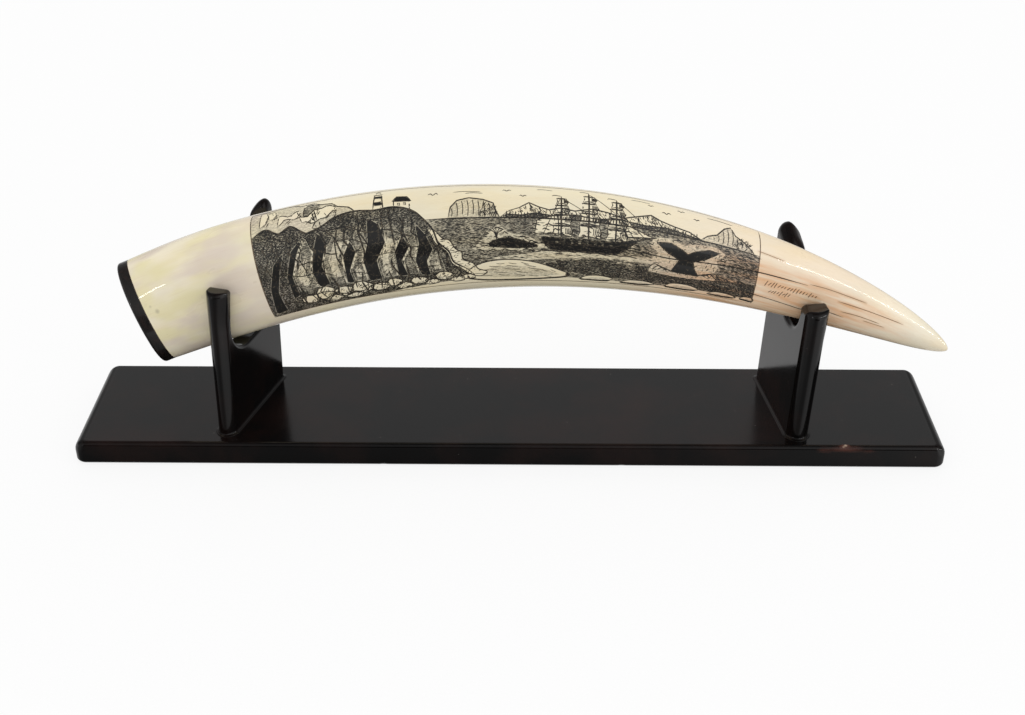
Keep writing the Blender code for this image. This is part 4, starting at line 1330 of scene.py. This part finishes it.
def draw_sky(picture):
    """Gulls and thin streaks of cloud over plain ivory."""
    gulls = ((96, 58, 2.6), (133, 60, 2.2), (141, 56.5, 1.8), (214, 56, 2.4), (222, 60.5, 2.0),
             (206, 60, 1.6), (230, 56.5, 1.7))
    for x, y, size in gulls:
        picture.stroke("engraved_sky", [(x - size, y + 0.5), (x - size * 0.5, y + size * 0.5), (x, y),
                                        (x + size * 0.5, y + size * 0.55), (x + size, y + 0.4)],
                       picture.fine * 1.1)
    for x, y, run in ((106, 59.5, 14), (112, 58.4, 9), (236, 61.4, 14), (196, 62.6, 10), (148, 62.4, 8)):
        picture.stroke("engraved_sky", [(x, y), (x + run * 0.4, y + 0.35), (x + run, y - 0.1)],
                       picture.fine * 0.8)


def draw_borders(picture):
    """The thin ruled line round the picture."""
    edge = [(0, step) for step in np.linspace(0.0, SHEET_HEIGHT, 12)]
    picture.stroke("engraved_borders", edge, picture.fine * 1.2, False)
    picture.stroke("engraved_borders", [(SHEET_WIDTH, y) for _x, y in edge], picture.fine * 1.2, False)
    for level in (0.0, SHEET_HEIGHT):
        picture.stroke("engraved_borders", [(x, level) for x in np.linspace(0.0, SHEET_WIDTH, 40)],
                       picture.fine, False)


def generic_picture(look):
    """A made-up northern coast: headland, ship, whales, ice and open water."""
    picture = Picture(look.line / MM, look.fine_line / MM)
    draw_water(picture)
    draw_icebergs(picture)
    draw_headland(picture)
    draw_lighthouse(picture)
    draw_ship(picture)
    draw_whales(picture)
    draw_sky(picture)
    draw_borders(picture)
    return picture


def shallow_rows():
    """Two rows of shallow slanting strokes near the tip."""
    chance = random.Random(5)
    strokes = []
    for along, angle, run, count in ((346.5, 87.0, 31.0, 17), (350.0, 98.5, 13.0, 8)):
        for index in range(count):
            foot = along + run * index / count
            middle = angle - 2.0 * index / count
            tall = chance.choice((2.2, 3.0, 4.8))
            lean = chance.uniform(0.6, 1.5)
            strokes.append([(foot, middle + tall), (foot + lean * 0.4, middle), (foot + lean, middle - tall)])
    return strokes


# Age cracks as places (millimetres along, degrees round), widest first, with widths in millimetres
DARK_CRACKS = (
    (((186, 79.6), (205, 79.4), (230, 79.0), (256, 78.8), (266, 79.6), (275.5, 80.4), (284, 81.6),
      (293, 82.6), (306, 80.6), (318, 78.4), (330, 76.2), (340, 74.3), (354, 72.8), (369, 71.0)), 0.62),
    (((339, 109.4), (350, 111.6), (362, 114.2), (374, 116.2), (382, 109.0), (388, 105.5), (396, 106.6)),
     0.44),
)
BROWN_CRACKS = (
    (((370, 68.0), (380, 64.8), (395, 62.5), (404, 60.5)), 0.40),
    (((389, 79.0), (406, 75.2), (418, 72.4), (430, 69.2)), 0.44),
    (((393.5, 96.0), (404, 92.8), (417, 92.2)), 0.44),
    (((337, 43.8), (352, 46.0)), 0.30),
    (((408, 99.0), (421, 97.0)), 0.32),
)


def stroke_mesh(name, form, strokes):
    """Strokes as slim closed slivers let into the ivory, wide in the middle and fine at both ends."""
    rows, faces = [], []
    count = 0
    for points, width, bend in strokes:
        path = smooth_path(points) if bend else straight_path(points)
        squeeze = form.squeeze(path[:, 0])
        lean = np.gradient(path, axis=0)
        lean[:, 1] *= squeeze
        lean /= np.linalg.norm(lean, axis=1, keepdims=True) + 1e-9
        share = np.linspace(0.0, 1.0, len(path))
        swell = np.clip(np.minimum(share, 1.0 - share) * STROKE_SWELL + STROKE_END_WIDTH, 0.0, 1.0)
        half = (width / 2 * swell)[:, None]
        side = np.stack([-lean[:, 1], lean[:, 0] / squeeze], 1) * half
        sections = ((path + side, STROKE_LIFT), (path - side, STROKE_LIFT), (path, -STROKE_KEEL))
        placed = [form.points(*form.from_sheet(flat[:, 0], flat[:, 1]), lift) for flat, lift in sections]
        rows.append(np.stack(placed, 1).reshape(-1, 3))
        steps = len(path)
        for index in range(steps - 1):
            base = count + index * 3
            for edge in range(3):
                after = (edge + 1) % 3
                faces.append((base + edge, base + after, base + 3 + after, base + 3 + edge))
        faces.append((count + 2, count + 1, count))
        last = count + (steps - 1) * 3
        faces.append((last, last + 1, last + 2))
        count += steps * 3
    return mesh_from_arrays(name, np.vstack(rows), faces)


def straight_path(points):
    """Points at an even step along straight runs, with every corner kept."""
    points = np.asarray(points, float)
    path = [points[0]]
    for here, after in zip(points, points[1:]):
        cuts = max(1, int(np.hypot(*(after - here)) / (STROKE_STEP * 2)))
        path.extend(here + (after - here) * (cut + 1) / cuts for cut in range(cuts))
    return np.array(path)


def tone_fields(form, picture, along, angle):
    """How far each place lies inside each depth of hatching, later areas covering earlier ones."""
    across, up = form.to_sheet(along, angle)
    places = form.laid_flat(across, up)
    fields = {depth: np.full(len(places), FIELD_LIMIT) for depth in ("solid", "dark", "middle", "pale")}
    sheet = np.maximum.reduce([-across, across - SHEET_WIDTH, -up, up - SHEET_HEIGHT])
    near = sheet < 1.0
    for depth, outline in picture.areas:
        outline = np.array(straight_path(list(outline) + [outline[0]])[:-1])
        away = edge_distance(places[near], form.laid_flat(*outline.T))
        for name, field in fields.items():
            if name == depth:
                field[near] = np.minimum(field[near], away)
            else:
                field[near] = np.maximum(field[near], -away)
    return {name: np.clip(np.maximum(field, sheet), -FIELD_LIMIT, FIELD_LIMIT)
            for name, field in fields.items()}


def stain_distance(form, along, angle):
    """Distance of each place to the nearest age crack, in millimetres."""
    places = form.laid_flat(*form.to_sheet(along, angle))
    nearest = np.full(len(places), FIELD_LIMIT)
    for points, _width in (*DARK_CRACKS[1:], *BROWN_CRACKS):
        path = form.laid_flat(*form.to_sheet(*np.asarray(points, float).T))
        path = np.vstack([path, path[::-1][1:-1]]) if len(path) > 2 else path
        nearest = np.minimum(nearest, np.abs(edge_distance(places, path)))
    return nearest


def tusk_mesh(form, picture):
    """The ivory as closely spaced rings, carrying what the material needs to know."""
    steps = np.arange(TUSK_RINGS + 1) / TUSK_RINGS
    along = form.length / MM * TIP_END * (1.0 - (1.0 - steps) ** TIP_CROWDING)
    angle = np.linspace(SEAM_ANGLE - 360.0, SEAM_ANGLE, TUSK_SIDES, endpoint=False)
    along_grid, angle_grid = (grid.ravel() for grid in np.meshgrid(along, angle, indexing="ij"))
    places = form.points(along_grid, angle_grid)
    tip = len(places) - TUSK_SIDES
    faces = []
    for ring in range(TUSK_RINGS - 1):
        base = ring * TUSK_SIDES
        for side in range(TUSK_SIDES):
            after = (side + 1) % TUSK_SIDES
            faces.append((base + side, base + TUSK_SIDES + side, base + TUSK_SIDES + after, base + after))
    base = (TUSK_RINGS - 1) * TUSK_SIDES
    for side in range(TUSK_SIDES):
        faces.append((base + side, tip, base + (side + 1) % TUSK_SIDES))
    faces.append(tuple(range(TUSK_SIDES)))
    places = places[:tip + 1]
    along_grid, angle_grid = along_grid[:tip + 1], angle_grid[:tip + 1]
    mesh = bpy.data.meshes.new("tusk_ivory")
    mesh.from_pydata([tuple(place) for place in places], [], faces)
    left = taper(along_grid * MM / form.length)
    turn = np.radians(angle_grid)
    upward = TUSK_HALF_HEIGHT / MM * left * np.cos(turn)
    forward = TUSK_HALF_DEPTH / MM * left * np.sin(turn)
    store(mesh, "grain_place", "FLOAT_VECTOR", np.stack([along_grid, upward, forward], 1))
    flat = form.laid_flat(*form.to_sheet(along_grid, angle_grid))
    store(mesh, "drawn_place", "FLOAT_VECTOR", np.pad(flat, ((0, 0), (0, 1))))
    for name, field in tone_fields(form, picture, along_grid, angle_grid).items():
        store(mesh, name + "_field", "FLOAT", field)
    store(mesh, "stain_field", "FLOAT", stain_distance(form, along_grid, angle_grid))
    return mesh


def outward_faces(mesh):
    shape = bmesh.new()
    shape.from_mesh(mesh)
    face_outwards(shape)
    shape.to_mesh(mesh)
    shape.free()


def butt_section(form):
    """The butt's rim, its middle and the way out of it."""
    angle = np.linspace(0.0, 360.0, TUSK_SIDES, endpoint=False)
    rim = [Vector(place) for place in form.points(np.zeros(TUSK_SIDES), angle)]
    middle = sum(rim, Vector()) / len(rim)
    normal = (rim[0] - middle).cross(rim[TUSK_SIDES // 4] - middle).normalized()
    return rim, middle, normal if normal.x < 0 else -normal


def turned_disc(form, steps, crown):
    """A disc that follows the butt's rim: steps are (way out, inset), crown closes its face."""
    rim, middle, outwards = butt_section(form)
    shape = bmesh.new()
    rings = []
    for out, inset in steps:
        ring = []
        for point in rim:
            spoke = point - middle
            ring.append(shape.verts.new(middle + spoke * (1 - inset / spoke.length) + outwards * out))
        rings.append(ring)
    skin(shape, rings)
    shape.faces.new(rings[0])
    peak = shape.verts.new(middle + outwards * crown)
    last = rings[-1]
    for index in range(len(last)):
        shape.faces.new((last[index], last[(index + 1) % len(last)], peak))
    return shape


def add_strokes(name, form, strokes, material):
    mesh = stroke_mesh(name, form, strokes)
    outward_faces(mesh)
    return add_object(name, mesh, material)


class BuildBoard(bpy.types.Operator):
    """Dress the stand's board with worn black lacquer"""
    bl_idname = "object.lacquered_board"
    bl_label = "Lacquered board"

    def execute(self, context):
        shape, rubs = lacquered_board()
        board = add_shape("lacquered_board", shape, lacquer_of(context))
        store(board.data, "worn", "FLOAT", rubs)
        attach(board, "root")
        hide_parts("stand_base")
        return {"FINISHED"}


class BuildUprights(bpy.types.Operator):
    """Dress both notched uprights with black lacquer"""
    bl_idname = "object.lacquered_uprights"
    bl_label = "Lacquered uprights"

    def execute(self, context):
        for node, cut in (("upright_left", LEFT_UPRIGHT), ("upright_right", RIGHT_UPRIGHT)):
            piece = add_shape("lacquered_" + node, lacquered_upright(cut), lacquer_of(context))
            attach(piece, "root")
            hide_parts(node)
        return {"FINISHED"}


class BuildBeads(bpy.types.Operator):
    """Add the lacquer that pooled round both feet"""
    bl_idname = "object.lacquer_beads"
    bl_label = "Lacquer beads"

    def execute(self, context):
        width = context.scene.stand_look.bead
        for side, cut in (("left", LEFT_UPRIGHT), ("right", RIGHT_UPRIGHT)):
            piece = add_shape("lacquer_bead_" + side, lacquer_bead(cut, width), lacquer_of(context))
            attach(piece, "root")
        return {"FINISHED"}


class BuildTusk(bpy.types.Operator):
    """Dress the tusk with polished ivory and the hatched areas of the picture"""
    bl_idname = "object.walrus_tusk"
    bl_label = "Walrus tusk"

    def execute(self, context):
        look = context.scene.tusk_look
        mesh = tusk_mesh(TuskForm(), generic_picture(look))
        outward_faces(mesh)
        tusk = add_object("tusk_ivory", mesh, polished_walrus_ivory(look))
        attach(tusk, "root")
        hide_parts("tusk")
        return {"FINISHED"}


class BuildEngraving(bpy.types.Operator):
    """Cut the picture's strokes, one piece for each part of the picture"""
    bl_idname = "object.engraved_picture"
    bl_label = "Engraved picture"

    def execute(self, context):
        look = context.scene.tusk_look
        form = TuskForm()
        ink = rubbed_ink("lampblack in engraving", look.ink, 0.35)
        sepia = rubbed_ink("thin brown ink", hex_colour("#5C4632"), 0.5)
        for name, strokes in generic_picture(look).strokes.items():
            piece = add_strokes(name, form, strokes, sepia if name == "engraved_borders" else ink)
            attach(piece, "root")
        return {"FINISHED"}


class BuildMarks(bpy.types.Operator):
    """Add the age cracks and two rows of shallow strokes"""
    bl_idname = "object.tusk_marks"
    bl_label = "Cracks and shallow strokes"

    def execute(self, context):
        look = context.scene.tusk_look
        form = TuskForm()
        dark = rubbed_ink("dirt in age cracks", hex_colour("#1C1612"), 0.1)
        brown = rubbed_ink("brown stain in age cracks", hex_colour("#8A6440"), 0.6)
        faint = rubbed_ink("shallow brown strokes", hex_colour("#6B4A30"), 0.3)
        marks = (
            ("dark_age_cracks", dark, DARK_CRACKS),
            ("brown_age_cracks", brown, BROWN_CRACKS),
            ("shallow_strokes", faint, [(stroke, look.fine_line / MM) for stroke in shallow_rows()]),
        )
        for name, material, lines in marks:
            strokes = []
            for points, width in lines:
                strokes.append((np.stack(form.to_sheet(*np.asarray(points, float).T), 1), width, True))
            piece = add_strokes(name, form, strokes, material)
            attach(piece, "root")
        return {"FINISHED"}


class BuildCap(bpy.types.Operator):
    """Dress the butt with its horn cap and the glue line behind it"""
    bl_idname = "object.horn_cap"
    bl_label = "Horn cap"

    def execute(self, context):
        form = TuskForm()
        steps = [(GLUE_GAP, 0.00015), (GLUE_GAP + 0.0002, 0.0), (CAP_THICKNESS - CAP_EDGE_ROUND, 0.0)]
        for index in range(1, ROUND_STEPS + 1):
            turn = math.pi / 2 * index / ROUND_STEPS
            steps.append((CAP_THICKNESS - CAP_EDGE_ROUND * (1 - math.sin(turn)),
                          CAP_EDGE_ROUND * (1 - math.cos(turn))))
        for inset in (0.004, 0.008, 0.012, 0.016):
            steps.append((CAP_THICKNESS + CAP_DOME * inset / CAP_DOME_REACH, inset))
        cap = add_shape("horn_cap", turned_disc(form, steps, CAP_THICKNESS + CAP_DOME),
                        polished_dark_horn(context.scene.cap_look))
        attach(cap, "root")
        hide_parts("butt_cap")
        glue = turned_disc(form, [(-0.0001, 0.0002), (GLUE_GAP * 0.3, 0.00012), (GLUE_GAP + 0.0001, 0.0002)],
                           GLUE_GAP + 0.0001)
        seam = add_shape("glue_line", glue, rubbed_ink("dark brown glue", hex_colour("#4A3524"), 0.3))
        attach(seam, "root")
        return {"FINISHED"}


def studio_floor(look):
    """Seamless white paper lit from behind, so that it stays pale under the object."""
    material, tree, shader = new_material("white studio paper")
    place = add_node(tree, "ShaderNodeTexCoord").outputs["Object"]
    tooth = add_node(tree, "ShaderNodeTexNoise", {"Vector": place, "Scale": 800.0, "Detail": 2.0})
    tint = add_node(tree, "ShaderNodeMapRange", {
        "Value": tooth.outputs[0], "To Min": 0.97, "To Max": 1.0})
    tone = add_node(tree, "ShaderNodeMix", {
        0: tint.outputs[0], 6: (*grey(0.0), 1.0), 7: (*look.floor, 1.0)}, data_type="RGBA")
    tree.links.new(tone.outputs[2], shader.inputs["Emission Color"])
    shader.inputs["Emission Strength"].default_value = PAPER_GLOW
    shader.inputs["Base Color"].default_value = (*grey(0.11), 1.0)
    shader.inputs["Roughness"].default_value = 0.9
    shader.inputs["Specular IOR Level"].default_value = 0.0
    return material


def level_ramp(tree, height, levels):
    """Grey levels along a direction that runs from -1 to 1."""
    place = add_node(tree, "ShaderNodeMapRange", {"Value": height, "From Min": -1.0, "From Max": 1.0})
    stops = [((at + 1) / 2, grey(level)) for at, level in levels]
    return add_node(tree, "ShaderNodeValToRGB", {0: place.outputs[0]}, stops=stops).outputs[0]


def between(tree, value, low, high, first, second):
    """The first colour below the low value and the second above the high one."""
    share = add_node(tree, "ShaderNodeMapRange", {"Value": value, "From Min": low, "From Max": high})
    return add_node(tree, "ShaderNodeMix", {0: share.outputs[0], 6: first, 7: second},
                    data_type="RGBA").outputs[2]


def studio_tent(look):
    """Soft light, most of it from above; gloss mirrors a pale wall behind and a dim room before."""
    world = bpy.data.worlds.new("studio tent")
    world.use_nodes = True
    bpy.context.scene.world = world
    tree = world.node_tree
    way = add_node(tree, "ShaderNodeTexCoord").outputs["Generated"]
    axes = add_node(tree, "ShaderNodeSeparateXYZ", {0: way})
    right, back, up = axes.outputs[0], axes.outputs[1], axes.outputs[2]
    wall = level_ramp(tree, up, ((-1.0, 0.66), (0.0, 0.60), (0.46, 0.43), (0.60, 0.44), (0.72, 0.22),
                                 (0.90, 0.12), (1.0, 0.06)))
    low_wall = level_ramp(tree, right, ((-1.0, 1.0), (-0.2, 1.0), (0.3, 0.85), (0.6, 0.68), (1.0, 0.6)))
    high_wall = level_ramp(tree, right, ((-1.0, 0.2), (-0.55, 0.4), (-0.36, 1.0), (0.36, 1.0),
                                         (0.46, 0.35), (1.0, 0.2)))
    wall_side = between(tree, up, -0.05, 0.05, low_wall, high_wall)
    room = level_ramp(tree, up, ((-1.0, 0.2), (-0.64, 0.38), (-0.57, 0.5), (-0.54, 0.58), (-0.466, 1.0),
                                 (-0.3, 1.05), (0.2, 1.0), (0.6, 0.85), (0.86, 0.4), (1.0, 0.15)))
    room_side = level_ramp(tree, right, ((-1.0, 0.30), (-0.65, 0.28), (-0.3, 0.22), (0.0, 0.26),
                                         (0.2, 0.44), (0.28, 0.66), (0.42, 0.75), (0.7, 0.8), (1.0, 0.5)))
    # A dark shelf low in the room lies in the lower half of the cap
    shelf = level_ramp(tree, up, ((-1.0, 1.0), (-0.46, 1.0), (-0.42, 0.1), (-0.06, 0.1),
                                  (-0.01, 1.0), (1.0, 1.0)))
    white = (*grey(1.0), 1.0)
    shelf = between(tree, right, -0.45, -0.35, white, shelf)
    shelf = between(tree, right, 0.42, 0.50, shelf, white)
    behind = add_node(tree, "ShaderNodeMix", {0: 1.0, 6: wall, 7: wall_side},
                      data_type="RGBA", blend_type="MULTIPLY").outputs[2]
    before = room
    for share in (room_side, shelf):
        before = add_node(tree, "ShaderNodeMix", {0: 1.0, 6: before, 7: share},
                          data_type="RGBA", blend_type="MULTIPLY").outputs[2]
    seen = between(tree, back, -0.25, 0.15, before, behind)
    soft_colour = level_ramp(tree, up, ((-1.0, 1.05), (-0.5, 0.76), (-0.15, 0.57), (0.15, 0.88),
                                        (1.0, 1.28)))
    path = add_node(tree, "ShaderNodeLightPath")
    gloss = add_node(tree, "ShaderNodeBackground", {"Color": seen, "Strength": 1.0})
    soft = add_node(tree, "ShaderNodeBackground", {"Color": soft_colour, "Strength": look.tent})
    both = add_node(tree, "ShaderNodeMixShader", {
        0: path.outputs["Is Glossy Ray"], 1: soft.outputs[0], 2: gloss.outputs[0]})
    tree.links.new(both.outputs[0], tree.nodes["World Output"].inputs["Surface"])


def direction(azimuth, elevation):
    """Way to a light: azimuth turns from straight ahead of the object towards its right."""
    turn, rise = math.radians(azimuth), math.radians(elevation)
    return Vector((math.sin(turn) * math.cos(rise), -math.cos(turn) * math.cos(rise), math.sin(rise)))


# Strip lights: the place on the tusk that mirrors each, its ends as directions (azimuth, elevation)
# from there in degrees, its width and its share of the strips' brightness
STRIP_DISTANCE = 1.5
STRIPS = (
    ("right strip", (0.19, 0.0, 0.10), (35, 24), (88, -4), 0.034, 1.9),
    ("left strip", (-0.195, -0.017, 0.097), (-42.0, -2.5), (-37.3, 8.2), 0.04, 1.4),
    ("front strip", (0.05, 0.0, 0.09), (-20, 44), (24, 52), 0.06, 0.12),
)


def strip_light(name, centre, first, second, width, brightness):
    """A narrow soft light between two directions from a place on the tusk."""
    start = direction(*first) * STRIP_DISTANCE
    end = direction(*second) * STRIP_DISTANCE
    length = (end - start).length
    data = bpy.data.lights.new(name, "AREA")
    data.shape = "RECTANGLE"
    data.size = length
    data.size_y = width
    data.energy = brightness * math.pi * length * width
    lamp = bpy.data.objects.new(name, data)
    bpy.context.collection.objects.link(lamp)
    middle = (start + end) / 2 + Vector(centre)
    back = ((start + end) / 2).normalized()
    run = (end - start).normalized()
    across = back.cross(run).normalized()
    turned = Matrix((run, across, run.cross(across))).transposed()
    lamp.matrix_world = Matrix.Translation(middle) @ turned.to_4x4()


class BuildStudio(bpy.types.Operator):
    """Lay the pale floor, light the tent and set the camera at the photograph's angle"""
    bl_idname = "scene.tusk_studio"
    bl_label = "Studio"

    def execute(self, context):
        look = context.scene.studio_look
        context.scene.view_settings.view_transform = "Standard"
        shape = bmesh.new()
        bmesh.ops.create_grid(shape, x_segments=8, y_segments=8, size=6.0)
        floor = add_shape("studio_floor", shape, studio_floor(look))
        floor.visible_glossy = False
        floor.visible_diffuse = False
        studio_tent(look)
        for name, centre, first, second, width, share in STRIPS:
            strip_light(name, centre, first, second, width, look.strip * share)
        data = bpy.data.cameras.new("camera")
        data.lens = look.lens
        data.sensor_width = SENSOR_WIDTH
        camera = bpy.data.objects.new("camera", data)
        camera.location = CAMERA_PLACE
        camera.rotation_euler = (math.pi / 2 - CAMERA_DOWN, 0.0, CAMERA_LEFT)
        context.collection.objects.link(camera)
        context.scene.camera = camera
        return {"FINISHED"}


def lacquer_of(context):
    """The stand's one lacquer, made when the first piece asks for it."""
    found = bpy.data.materials.get("black lacquered wood")
    return found or black_lacquered_wood(context.scene.stand_look)


class TuskPanel(bpy.types.Panel):
    """The tusk's pieces, sizes and colours"""
    bl_idname = "VIEW3D_PT_engraved_tusk"
    bl_label = "Engraved tusk"
    bl_space_type = "VIEW_3D"
    bl_region_type = "UI"
    bl_category = "Tusk"

    def draw(self, context):
        for group in LOOKS:
            look = getattr(context.scene, group)
            for name in look.__annotations__:
                self.layout.prop(look, name)
        for operator in OPERATORS:
            self.layout.operator(operator.bl_idname)


LOOKS = {"tusk_look": TuskLook, "stand_look": StandLook, "cap_look": CapLook, "studio_look": StudioLook}
OPERATORS = (BuildBoard, BuildUprights, BuildBeads, BuildTusk, BuildEngraving, BuildMarks, BuildCap,
             BuildStudio)


def register():
    for cls in (*LOOKS.values(), *OPERATORS, TuskPanel):
        bpy.utils.register_class(cls)
    for name, cls in LOOKS.items():
        setattr(bpy.types.Scene, name, PointerProperty(type=cls))


def unregister():
    for name in LOOKS:
        delattr(bpy.types.Scene, name)
    for cls in (TuskPanel, *reversed(OPERATORS), *reversed(LOOKS.values())):
        bpy.utils.unregister_class(cls)


def main():
    register()
    for operator in OPERATORS:
        category, name = operator.bl_idname.split(".")
        getattr(getattr(bpy.ops, category), name)()


if __name__ == "__main__":
    main()
